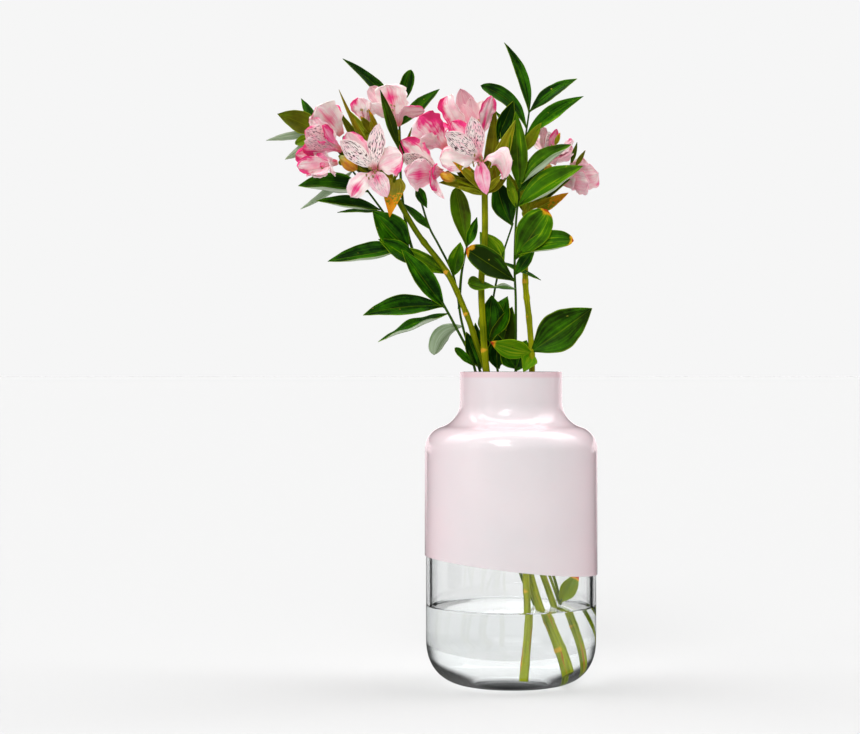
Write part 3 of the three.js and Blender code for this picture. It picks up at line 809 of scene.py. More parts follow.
@dataclass(frozen=True)
class Blade:
    """A leaf or petal: the curve of its midrib, its face, and how it is shaped about them.

    Attributes:
        curve: The control points of the midrib.
        face: The direction its upper face looks in.
        width: The full width in millimetres.
        outline: How the width runs along it.
        cup: How deep its channel is, as a share of half the width.
        twist: How far the tip is turned about the midrib, in degrees.
        wave: How far the margins rise and fall, in millimetres.
        curl: How far the margins bend back, as a share of half the width.
        keel: How sharply it is creased along its midrib, as a share of half the width.
        ruffle: How crimped its margins and face are, in millimetres.
        fold: The share of one half that is rolled over, negative for the other margin.
        paint: What its finish reads.
        marks: What else a petal's finish reads: side, core, its painted shade and heart.
        fold_turn: How far a rolled margin turns over at its middle, in radians.
        fold_radius: The radius of that roll in millimetres.
    """

    curve: tuple[Point, ...]
    face: Point
    width: float
    outline: Outline
    cup: float = 0.15
    twist: float = 0.0
    wave: float = 0.0
    curl: float = 0.0
    keel: float = 0.0
    ruffle: float = 0.0
    fold: float = 0.0
    paint: Paint = (0.5, 0.0, 0.0)
    marks: Marks = (0.0, 0.0, 0.0, 0.5)
    fold_turn: ClassVar[float] = 2.7
    fold_radius: ClassVar[float] = 0.7

    def folded(self, across: Array, along: Array, half: Array) -> tuple[Array, Array]:
        """Where the flat cross-section goes when one margin is rolled over towards the face.

        Args:
            across: Each point's place across, from -1 to 1.
            along: Each point's place along.
            half: Half the width there.

        Returns:
            The place across in millimetres, and the height over the face.
        """
        sign = math.copysign(1.0, self.fold)
        radius = self.fold_radius
        turn = self.fold_turn * np.sin(np.pi * np.clip(along, 0, 1)) ** 0.4
        start = (1 - abs(self.fold)) * half
        excess = np.maximum(across * sign * half - start, 0)
        round_part = np.minimum(excess / radius, turn)
        flat_part = np.maximum(excess - radius * turn, 0)
        reach = radius * np.sin(round_part) + flat_part * np.cos(turn)
        rise = radius * (1 - np.cos(round_part)) + flat_part * np.sin(turn)
        aside = np.where(excess > 0, sign * (start + reach), across * half)
        return aside, rise

    def places(self, across: Array, along: Array, phase: float) -> Array:
        """Where the points of a flat sheet go.

        Args:
            across: Each point's place across, from -1 to 1.
            along: Each point's place from root to tip, from 0 to 1.
            phase: Where the waves start, from 0 to 1.

        Returns:
            The points in millimetres.
        """
        centre, tangent = bezier([np.array(p) for p in self.curve], along)
        side = unit(np.cross(tangent, np.array(self.face)[None, :]))
        side = turned(side, tangent, self.twist * along)
        up = np.cross(side, tangent)
        half = self.outline.value.share(along) * self.width / 2
        swell = np.sin(2 * np.pi * (3.1 * along + 2 * phase)) + np.sin(2 * np.pi * (5.3 * along + 5 * phase))
        half = half * (1 + 0.035 * self.ruffle * swell * np.sign(across))
        bend = -self.cup * half * (1 - across ** 2) - self.curl * half * across ** 4
        bend = bend - self.keel * half * (1 - np.abs(across))
        ripple = np.sin(2 * np.pi * (2.2 * along + phase + 0.3 * np.sign(across)))
        ripple = ripple * across ** 2 * np.sin(np.pi * np.clip(along, 0, 1)) ** 0.5
        crimp = np.sin(2 * np.pi * (6.5 * along + 3 * phase + 0.5 * across))
        crimp = crimp * np.abs(across) ** 3 * np.clip(along * 1.6 - 0.5, 0, 1)
        crease = np.sin(2 * np.pi * (1.4 * across + phase)) * np.clip(along, 0, 1) ** 1.5
        lift = bend + self.wave * ripple * np.minimum(half / 6, 1)
        lift = lift + self.ruffle * (0.5 * crimp + 0.4 * crease)
        aside, rise = self.folded(across, along, half) if self.fold else (across * half, 0)
        return centre + side * aside[:, None] + up * (lift + rise)[:, None]


def leaf(
    root: Point,
    tip: Point,
    width: float,
    roll: float = 0.0,
    arch: float = 4.0,
    sway: float = 0.0,
    cup: float = 0.15,
    twist: float = 0.0,
    outline: Outline = Outline.RUSCUS,
    wave: float = 0.5,
    keel: float = 0.28,
    fold: float = 0.0,
    paint: Paint = (0.4, 0.0, 0.0),
) -> Blade:
    """A leaf from a root to a tip, its face turned from the viewer by roll about its length.

    Args:
        root: Where it grows from.
        tip: Where it ends.
        width: Its full width.
        roll: How far its face is turned about its length, in degrees.
        arch: How far its middle is raised along its face.
        sway: How far its middle is carried across its face.
        cup: The depth of its channel.
        twist: The turn from root to tip, in degrees.
        outline: How its width runs.
        wave: How far its margins rise and fall.
        keel: How sharply it is creased along its midrib.
        fold: The share of one half that is rolled over.
        paint: Brightness, olive and scorch.

    Returns:
        The blade.
    """
    start, end = np.array(root, float), np.array(tip, float)
    along = unit(end - start)
    face = turned(np.array([0.0, -1.0, 0.0]), along, roll)
    face = unit(face - np.dot(face, along) * along)
    side = np.cross(along, face)
    middle = (start + end) / 2 + 2 * arch * face + 2 * sway * side
    curve = (tuple(start), tuple(middle), tuple(end))
    shape = {"cup": cup, "twist": twist, "wave": wave, "keel": keel, "ruffle": 0.25, "fold": fold}
    return Blade(curve, tuple(face), width, outline, paint=paint, **shape)


# A broad and a strap-shaped bract, and a slim and a blunt ruscus leaf
broad: Callable[..., Blade] = partial(leaf, outline=Outline.BRACT)
strap: Callable[..., Blade] = partial(leaf, outline=Outline.STRAP, arch=2)
slim: Callable[..., Blade] = partial(leaf, outline=Outline.SLIM, arch=2)
blunt: Callable[..., Blade] = partial(leaf, outline=Outline.BLUNT)


class Sheets:
    """Flat sheets of small faces. Each size is modelled once and copied with its own mesh."""

    def __init__(self) -> None:
        """Starts with no sheet modelled."""
        self.modelled: dict[tuple[int, int], Piece] = {}

    def sheet(self, columns: int, rows: int) -> Piece:
        """A copy of the flat sheet with so many faces across and along.

        Args:
            columns: Faces across.
            rows: Faces along.

        Returns:
            A new object with its own mesh.
        """
        size = (columns, rows)
        if size not in self.modelled:
            bpy.ops.object.select_all(action="DESELECT")
            bpy.ops.mesh.primitive_grid_add(x_subdivisions=columns, y_subdivisions=rows, size=2)
            first = bpy.context.object
            first.name = f"sheet_{columns}_{rows}"
            for shelf in list(first.users_collection):
                shelf.objects.unlink(first)
            self.modelled[size] = first
        first = self.modelled[size]
        copy = first.copy()
        copy.data = first.data.copy()
        bpy.context.scene.collection.objects.link(copy)
        return copy

    def clear(self) -> None:
        """Removes the sheets that copies were taken from."""
        for first in self.modelled.values():
            bpy.data.objects.remove(first, do_unlink=True)


SHEETS = Sheets()
LOT = np.random.default_rng(SEED)


def shaped(
    columns: int,
    rows: int,
    places: Callable[[Array, Array], Array],
    paint: Callable[[Array, Array], Array] | Paint,
    marks: Marks | None = None,
) -> Piece:
    """A sheet whose points are moved to their places, with its paint stored on them.

    Args:
        columns: Faces across.
        rows: Faces along.
        places: Gives each point's place in millimetres from its across and along.
        paint: The finish's three values, the same all over or for each point.
        marks: Four more values for a petal.

    Returns:
        The shaped object.
    """
    piece = SHEETS.sheet(columns, rows)
    count = len(piece.data.vertices)
    flat = np.empty(count * 3, np.float32)
    piece.data.vertices.foreach_get("co", flat)
    flat = flat.reshape(-1, 3).astype(float)
    across, along = flat[:, 0], (flat[:, 1] + 1) / 2
    points = places(across, along) * MM
    piece.data.vertices.foreach_set("co", points.astype(np.float32).ravel())
    values = paint(across, along) if callable(paint) else np.tile(np.array(paint), (count, 1))
    stored = piece.data.attributes.new("paint", "FLOAT_VECTOR", "POINT")
    stored.data.foreach_set("vector", values.astype(np.float32).ravel())
    lot = piece.data.attributes.new("lot", "FLOAT", "POINT")
    lot.data.foreach_set("value", np.full(count, LOT.random(), np.float32))
    if marks:
        more = piece.data.attributes.new("marks", "FLOAT_COLOR", "POINT")
        more.data.foreach_set("color", np.tile(np.array(marks, np.float32), count))
    piece.data.update()
    return piece


def select_only(pieces: Iterable[Piece]) -> None:
    """Selects these objects and nothing else, the first one active.

    Args:
        pieces: The objects.
    """
    bpy.ops.object.select_all(action="DESELECT")
    chosen = list(pieces)
    for piece in chosen:
        piece.select_set(True)
    bpy.context.view_layer.objects.active = chosen[0]


def joined(pieces: Sequence[Piece], name: str) -> Piece:
    """Joins objects to one and names it.

    Args:
        pieces: The objects to join.
        name: The name of the whole.

    Returns:
        The joined object.
    """
    select_only(pieces)
    if len(pieces) > 1:
        bpy.ops.object.join()
    whole = bpy.context.view_layer.objects.active
    whole.name = name
    whole.data.name = name
    return whole


def dressed(piece: Piece, *materials: Material) -> Piece:
    """Gives a piece its materials, in the order of its faces' numbers.

    Args:
        piece: The piece.
        materials: Its materials.

    Returns:
        The same piece.
    """
    piece.data.materials.clear()
    for material in materials:
        piece.data.materials.append(material)
    return piece


def thickened(piece: Piece, thickness: float, under: bool) -> None:
    """Gives a joined set of blades their thickness, with the modifier applied.

    Args:
        piece: The blades, as open sheets.
        thickness: In millimetres, half to each side.
        under: Whether the underside takes the second material.
    """
    select_only([piece])
    solid = piece.modifiers.new("thickness", "SOLIDIFY")
    solid.thickness = thickness * MM
    solid.offset = 0.0
    solid.use_quality_normals = True
    if under:
        solid.material_offset = 1
    bpy.ops.object.modifier_apply(modifier=solid.name)
    bpy.ops.object.shade_smooth_by_angle(angle=SMOOTH_PLANT)


def blades(
    name: str,
    shapes: Sequence[Blade],
    materials: Sequence[Material],
    detail: tuple[int, int],
    thickness: float = LEAF_THICKNESS,
    marked: bool = False,
) -> Piece:
    """One piece of several leaves or petals.

    Args:
        name: The piece's name.
        shapes: The blades.
        materials: The upper material, and the underside's where it differs.
        detail: Faces across and along each blade.
        thickness: The blades' thickness in millimetres.
        marked: Whether they are petals, whose finish reads their marks too.

    Returns:
        The piece, dressed.
    """
    made = []
    for shape in shapes:
        phase = LOT.random()
        marks = shape.marks if marked else None
        made.append(shaped(*detail, lambda a, t, s=shape, p=phase: s.places(a, t, p), shape.paint, marks))
    whole = dressed(joined(made, name), *materials)
    thickened(whole, thickness, len(materials) > 1)
    return whole


def tube(
    route: Array,
    radius: Callable[[Array], Array],
    sides: int,
    paint: Callable[[Array, Array], Array] | Paint,
) -> Piece:
    """A round bar along a route, made from a rolled sheet.

    Args:
        route: Points along its middle.
        radius: The radius at places from 0 to 1 along it.
        sides: How many faces it has round.
        paint: What its finish reads.

    Returns:
        The open bar.
    """
    steps = lengths(route)
    steps /= steps[-1]
    rows = len(route) - 1
    directions = unit(np.gradient(route, axis=0))
    side = np.cross(directions[0], [0.31, 0.87, 0.2])
    sideways = []
    for direction in directions:
        side = side - np.dot(side, direction) * direction
        side = side / np.linalg.norm(side)
        sideways.append(side)
    sideways = np.array(sideways)
    other = np.cross(directions, sideways)

    def places(across: Array, along: Array) -> Array:
        """Rolls the sheet round the route.

        Args:
            across: Each point's place round the bar, from -1 to 1.
            along: Its place along.

        Returns:
            The points.
        """
        index = np.rint(along * rows).astype(int)
        angle = np.pi * across
        size = radius(steps[index])[:, None]
        ring = np.cos(angle)[:, None] * sideways[index] + np.sin(angle)[:, None] * other[index]
        return route[index] + size * ring

    def coats(across: Array, along: Array) -> Array:
        """The paint, by true length along the route."""
        index = np.rint(along * rows).astype(int)
        return paint(across, steps[index])

    return shaped(sides, rows, places, coats if callable(paint) else paint)


@contextmanager
def edited(piece: Piece, smooth: float) -> Iterator[None]:
    """Opens a piece's mesh, all selected, and afterwards turns its faces outwards and smooths it.

    Args:
        piece: The piece.
        smooth: The angle up to which its edges are smoothed, in radians.

    Yields:
        Nothing, while the mesh is open.
    """
    select_only([piece])
    bpy.ops.object.mode_set(mode="EDIT")
    bpy.ops.mesh.select_all(action="SELECT")
    yield
    bpy.ops.mesh.select_all(action="SELECT")
    bpy.ops.mesh.normals_make_consistent(inside=False)
    bpy.ops.object.mode_set(mode="OBJECT")
    bpy.ops.object.shade_smooth_by_angle(angle=smooth)


def closed(piece: Piece) -> None:
    """Closes rolled sheets: joins their seams and fills their ends.

    Args:
        piece: The rolled sheets, joined to one piece.
    """
    with edited(piece, SMOOTH_PLANT):
        bpy.ops.mesh.remove_doubles(threshold=MERGED)
        bpy.ops.mesh.fill_holes(sides=0)


def egg(root: Array, tip: Array, radius: float, fat: float, paint: Paint) -> Piece:
    """An egg from its root to its tip.

    Args:
        root: One end.
        tip: The other end.
        radius: Its largest radius.
        fat: Where along it is thickest.
        paint: What its finish reads.

    Returns:
        The open egg, which closes at both ends when doubles are merged.
    """
    route = np.linspace(root, tip, 12)

    def girth(along: Array) -> Array:
        """The radius at places from 0 to 1."""
        power = math.log(0.5) / math.log(fat)
        return radius * np.sin(np.pi * np.clip(along, 0, 1) ** power) ** 0.62

    return tube(route, girth, 12, paint)


# Sub-assemblies


@dataclass
class Vase:
    """The two-layer vase: clear glass, cased with pink opal above a slanting edge."""

    rim_z: float = 271.5
    body_radius: float = 75.0
    neck_radius: float = 44.4
    shoulder_radius: float = 20.3
    shoulder_z: float = 204.4
    cove_radius: float = 22.0
    opal_thickness: float = 0.8
    glass_inset: float = 1.1
    inner_inset: float = 6.0
    base_thickness: float = 11.0
    foot_corner: float = 41.0
    cavity_corner: float = 30.0
    corner_power: float = 2.4
    rim_round: float = 1.6
    opal_top_drop: float = 0.2
    edge_z: float = 104.2
    edge_fall: float = 0.109
    sides: int = 128
    water_z: float = 68.0
    water_overlap: float = 0.15
    water_creep: float = 1.6
    creep_reach: float = 4.5
    glass: ClearGlass = field(default_factory=ClearGlass)
    opal: OpalGlass = field(default_factory=OpalGlass)
    still: StillWater = field(default_factory=StillWater)

    def corner(self, radius: float, floor: float, size: float, steps: int = 14) -> Profile:
        """The rounded corner between a floor and an upright wall, from the floor up.

        Args:
            radius: The wall's radius.
            floor: The floor's height.
            size: How far the corner reaches in and up.
            steps: How many faces it gets.

        Returns:
            Points of radius and height.
        """
        made = []
        for angle in np.linspace(0, math.pi / 2, steps + 1):
            out = math.sin(angle) ** (2 / self.corner_power)
            down = max(math.cos(angle), 0.0) ** (2 / self.corner_power)
            made.append((radius - size + size * out, floor + size - size * down))
        return made

    def upper_wall(self, inset: float, top: float, steps: int = 10) -> Profile:
        """The wall from the straight body over the shoulder to a top edge, set in by a distance.

        Args:
            inset: How far in from the vase's outer face.
            top: The height of the top edge.
            steps: How many faces each curve gets.

        Returns:
            Points of radius and height, from the body up.
        """
        reach = self.shoulder_radius + self.cove_radius
        shoulder_x = self.body_radius - self.shoulder_radius
        turn = math.acos((self.neck_radius + self.cove_radius - shoulder_x) / reach)
        cove_x = shoulder_x + reach * math.cos(turn)
        cove_z = self.shoulder_z + reach * math.sin(turn)
        made = []
        for angle in np.linspace(0, turn, steps + 1):
            size = self.shoulder_radius - inset
            made.append((shoulder_x + size * math.cos(angle), self.shoulder_z + size * math.sin(angle)))
        for angle in np.linspace(turn + math.pi, math.pi, steps + 1)[1:]:
            size = self.cove_radius + inset
            made.append((cove_x + size * math.cos(angle), cove_z + size * math.sin(angle)))
        made.append((self.neck_radius - inset, top))
        return made

    def rim(self, radius: float, top: float, outward: bool, steps: int = 5) -> Profile:
        """The rounding at the rim on one side of the wall.

        Args:
            radius: The wall's radius on that side.
            top: The rim's height.
            outward: Whether it is the outer side.
            steps: How many faces it gets.

        Returns:
            Points from the wall up to the flat of the rim.
        """
        sign = 1 if outward else -1
        made = []
        for angle in np.linspace(0, math.pi / 2, steps + 1)[1:]:
            out = self.rim_round * (1 - math.cos(angle))
            made.append((radius - sign * out, top - self.rim_round * (1 - math.sin(angle))))
        return made

    def spun(self, name: str, outline: Profile) -> Piece:
        """Spins a closed outline of radius and height about the vertical axis.

        Args:
            name: The piece's name.
            outline: The points, which either close on themselves or start and end on the axis.

        Returns:
            The closed piece.
        """
        bpy.ops.object.select_all(action="DESELECT")
        bpy.ops.mesh.primitive_circle_add(vertices=len(outline), radius=1, fill_type="NOTHING")
        piece = bpy.context.object
        piece.name = name
        for vertex, (radius, height) in zip(piece.data.vertices, outline):
            vertex.co = (radius * MM, 0, height * MM)
        with edited(piece, SMOOTH_GLASS):
            bpy.ops.mesh.spin(steps=self.sides, angle=2 * math.pi, center=(0, 0, 0), axis=(0, 0, 1))
            bpy.ops.mesh.select_all(action="SELECT")
            bpy.ops.mesh.remove_doubles(threshold=MERGED)
            bpy.ops.mesh.delete_loose(use_verts=True, use_edges=True, use_faces=False)
        return piece

    def clear_wall(self) -> Piece:
        """The clear glass, from its thick base to the rim.

        Returns:
            The piece.
        """
        top = self.rim_z - self.rim_round
        outer = self.neck_radius - self.glass_inset
        inner = self.neck_radius - self.inner_inset
        outside = [(0.0, 0.0), *self.corner(self.body_radius - self.glass_inset, 0, self.foot_corner)]
        outside += self.upper_wall(self.glass_inset, top) + self.rim(outer, self.rim_z, True)
        inside = [(0.0, self.base_thickness)]
        inside += self.corner(self.body_radius - self.inner_inset, self.base_thickness, self.cavity_corner)
        inside += self.upper_wall(self.inner_inset, top) + self.rim(inner, self.rim_z, False)
        piece = self.spun("vase_clear_glass", outside + inside[::-1])
        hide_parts("vase_glass")
        return dressed(piece, self.glass.material())

    def opal_casing(self) -> Piece:
        """The opal layer, its lower edge cut on a slant.

        Returns:
            The piece.
        """
        top = self.rim_z - self.opal_top_drop
        low = self.edge_z - 2 * self.edge_fall * self.body_radius
        outside = [(self.body_radius, low), *self.upper_wall(0, top)]
        inside = [(self.body_radius - self.opal_thickness, low), *self.upper_wall(self.opal_thickness, top)]
        piece = self.spun("vase_opal_glass", outside + inside[::-1])
        normal = (self.edge_fall, 0, 1)
        height = (0, 0, self.edge_z * MM)
        with edited(piece, SMOOTH_GLASS):
            bpy.ops.mesh.bisect(plane_co=height, plane_no=normal, use_fill=True, clear_inner=True)
        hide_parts("opal_layer")
        return dressed(piece, self.opal.material())

    def water(self) -> Piece:
        """The water, which wets the glass: its side lies just within the wall, and creeps up it.

        Returns:
            The piece.
        """
        side = self.body_radius - self.inner_inset
        wet, low = side + self.water_overlap, self.base_thickness - self.water_overlap
        outline = [(0.0, low), *self.corner(wet, low, self.cavity_corner)]
        outline.append((wet, self.water_z + self.water_creep))
        for share in np.linspace(0.06, 1, 8):
            height = self.water_z + self.water_creep * (1 - share) ** 2.6
            outline.append((side - self.creep_reach * share, height))
        outline.append((0.0, self.water_z))
        piece = self.spun("vase_water", outline)
        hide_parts("water")
        return dressed(piece, self.still.material())

    def build(self) -> list[Piece]:
        """Builds the glass, the casing and the water, which all let light fall through.

        Returns:
            The three pieces.
        """
        wall, casing, water = self.clear_wall(), self.opal_casing(), self.water()
        for piece in (wall, casing, water):
            piece.visible_shadow = False
        return [wall, casing, water]


OUTER, INNER, FAN = Outline.OUTER, Outline.INNER, Outline.FAN


@dataclass(frozen=True)
class Tepal:
    """One petal of a bloom.

    Attributes:
        tip: Where it ends.
        width: Its full width in millimetres.
        outline: Whether it is a broad outer petal or a pointed inner one.
        paint: How pink it is, how densely streaked, and how far the hot pink comes in.
        side: The margin that carries the hot pink: -1, 1, or 0 for both.
        core: How strong a hot pink patch on its midrib is.
        heart: Where along it that patch lies.
        painted_shade: How far its pink is dulled by painted shade.
        recurve: How far it arches forward before its tip, in millimetres.
        via: The point that its outer half is pulled towards, where it bends over.
    """

    tip: Point
    width: float
    outline: Outline
    paint: Paint
    side: float = 0.0
    core: float = 0.0
    heart: float = 0.5
    painted_shade: float = 0.0
    recurve: float = 0.0
    via: Point | None = None


# Each bloom's petals, with their tips placed as in the photograph
LEFT_1: list[Tepal] = [
    Tepal((-94, -34, 456), 27, OUTER, (0.12, 0, 0.7), side=0.8, painted_shade=0.3),
    Tepal((-114, -36, 483), 16, INNER, (0, 1, 0.1)),
    Tepal((-147, -34, 469), 16.5, INNER, (0, 1, 0.15)),
    Tepal((-142, -22, 477), 18, OUTER, (0.2, 0, 0.55), painted_shade=0.6),
    Tepal((-138, -28, 421), 18, OUTER, (0.1, 0, 0.1), core=1, heart=0.84, recurve=6),
    Tepal((-107, -27, 421), 16.5, INNER, (0.3, 0.3, 0.1), core=0.9),
]
LEFT_2: list[Tepal] = [
    Tepal((-171, -42, 439), 22, OUTER, (0.3, 0, 0.3), painted_shade=0.2),
    Tepal((-183, -44, 446), 16, OUTER, (0.3, 0, 0.8)),
    Tepal((-185, -32, 457), 16, OUTER, (0.1, 0, 0.85)),
    Tepal((-168, -14, 464), 17, OUTER, (0, 0, 0.1)),
    Tepal((-169, -30, 453), 14, INNER, (0.9, 0.2, 1)),
    Tepal((-153, -38, 442), 17, OUTER, (0.3, 0, 0.1), painted_shade=0.1),
    Tepal((-170, -30, 438), 13, OUTER, (0.1, 0, 0), painted_shade=0.3),
]
LEFT_3: list[Tepal] = [
    Tepal((-177, -34, 477), 21, INNER, (0.2, 0.8, 0.4), painted_shade=0.5),
    Tepal((-162, -30, 482), 11, OUTER, (0.9, 0, 1)),
    Tepal((-159, 2, 483), 14, OUTER, (0.05, 0, 0), painted_shade=0.2),
    Tepal((-173, -14, 489), 16, OUTER, (0.2, 0, 0.3)),
    Tepal((-179, -38, 462), 15, OUTER, (0.8, 0, 1)),
    Tepal((-177, -44, 467), 14, INNER, (0.3, 0.6, 0.2), painted_shade=0.4),
]
LEFT_4: list[Tepal] = [
    Tepal((-168, -16, 500), 27, FAN, (0.05, 0, 0.4), core=0.8, heart=0.6, side=1),
    Tepal((-157, 14, 505), 15, OUTER, (0.4, 0, 1)),
    Tepal((-175, -4, 492), 15, OUTER, (0.1, 0, 0.2)),
    Tepal((-151, 16, 499), 12, OUTER, (0.3, 0, 0), painted_shade=0.5),
]
LEFT_5: list[Tepal] = [
    Tepal((-108, -8, 520), 30, FAN, (0.05, 0, 0.05), core=1, heart=0.72),
    Tepal((-123, 6, 520), 15, OUTER, (0.1, 0, 0), painted_shade=0.7),
    Tepal((-97, 6, 520), 17, OUTER, (0, 0, 0)),
    Tepal((-94, -2, 509), 13, OUTER, (0.15, 0, 0), painted_shade=0.7),
    Tepal((-75, -10, 497), 14, OUTER, (0.2, 0, 0.6), painted_shade=0.6),
    Tepal((-121, -12, 503), 14, INNER, (0.15, 0, 0.1)),
]
LEFT_6: list[Tepal] = [
    Tepal((-133, 2, 510), 18, OUTER, (0.15, 0, 0.9), side=1),
    Tepal((-123, 8, 507), 15, OUTER, (0.1, 0, 0.1), core=0.5),
    Tepal((-128, 16, 507), 13, INNER, (0.2, 0, 0)),
]
CENTRE_1: list[Tepal] = [
    Tepal((-8, -30, 436), 23, OUTER, (0.15, 0, 0.6), side=1, painted_shade=0.3, via=(-7, -36, 469)),
    Tepal((-35, -38, 489), 16.5, INNER, (0.2, 1, 0.35), core=0.3),
    Tepal((-57, -40, 475), 17, INNER, (0.1, 1, 0.2)),
    Tepal((-52, -26, 486), 19, OUTER, (0.6, 0, 1)),
    Tepal((-62, -28, 454), 23, OUTER, (0, 0, 0.6)),
    Tepal((-22, -30, 423), 13.5, INNER, (0.6, 0, 0.3), core=0.9),
]
CENTRE_2: list[Tepal] = [
    Tepal((-55, -6, 510), 21, FAN, (0.1, 0, 0.95), side=1, core=0.6, heart=0.4, via=(-57, -14, 496)),
    Tepal((-44, 12, 519), 19, INNER, (0.25, 0, 0), painted_shade=0.9),
    Tepal((-17, -8, 510), 15, OUTER, (0.4, 0, 0.75), core=1),
    Tepal((-24, 14, 509), 16, OUTER, (0, 0, 0)),
    Tepal((-42, -2, 504), 14, INNER, (0.3, 0, 0), painted_shade=0.6),
    Tepal((-35, 10, 511), 14, INNER, (0.2, 0, 0), painted_shade=0.5),
]
CENTRE_3: list[Tepal] = [
    Tepal((-80, -18, 491), 30, FAN, (0.3, 0, 1.35), side=-1, core=1),
    Tepal((-62, 4, 490), 20, OUTER, (0.3, 0, 0.9)),
    Tepal((-78, -24, 472), 17, OUTER, (0.2, 0, 0.1), painted_shade=0.3),
    Tepal((-72, -6, 492), 16, INNER, (0.5, 0, 0.3)),
]
CENTRE_4: list[Tepal] = [
    Tepal((-95, -18, 471), 23, OUTER, (0.1, 0, 0.95)),
    Tepal((-93, -34, 457), 17, INNER, (0, 1, 0.1)),
    Tepal((-87, -38, 447), 16, INNER, (0.1, 1, 0.1)),
    Tepal((-92, -42, 442), 15, OUTER, (0.4, 0.4, 0.2), painted_shade=0.3),
    Tepal((-90, -48, 437), 26, OUTER, (0.35, 0, 0.2), core=1, heart=0.75, painted_shade=0.1),
    Tepal((-70, -40, 430), 20, OUTER, (0.6, 0, 0.9), core=1),
    Tepal((-58, -30, 419), 7, INNER, (0.1, 0, 0)),
    Tepal((-68, -38, 441), 15, OUTER, (0.7, 0, 1), core=0.6),
]
RIGHT_1: list[Tepal] = [
    Tepal((28, 8, 485), 9, OUTER, (0.3, 0, 0), painted_shade=0.5),
    Tepal((33, 0, 480), 14, INNER, (0, 0.8, 0.1)),
    Tepal((40, 4, 483), 8, INNER, (0.7, 0, 0.8)),
    Tepal((54, -2, 472), 14, OUTER, (0.3, 0, 0.4)),
    Tepal((53, -5, 466), 22, FAN, (0.4, 0, 1), side=-1, painted_shade=0.5, core=0.5, via=(45, -1, 460)),
    Tepal((17, 22, 480), 9, OUTER, (0.2, 0, 0)),
]
RIGHT_2: list[Tepal] = [
    Tepal((68, -4, 451), 22, OUTER, (0.3, 0, 0.2), painted_shade=0.2),
    Tepal((75, -12, 443), 24, FAN, (0.3, 0, 0.3), painted_shade=0.3),
    Tepal((67, -14, 435), 23, FAN, (0.3, 0, 0.2), painted_shade=0.35),
    Tepal((54, -8, 433), 15, OUTER, (0.3, 0, 0), painted_shade=0.4),
    Tepal((64, -10, 441), 12, INNER, (0.3, 0.4, 0)),
    Tepal((58, -2, 453), 11, OUTER, (0.4, 0, 0.1)),
]


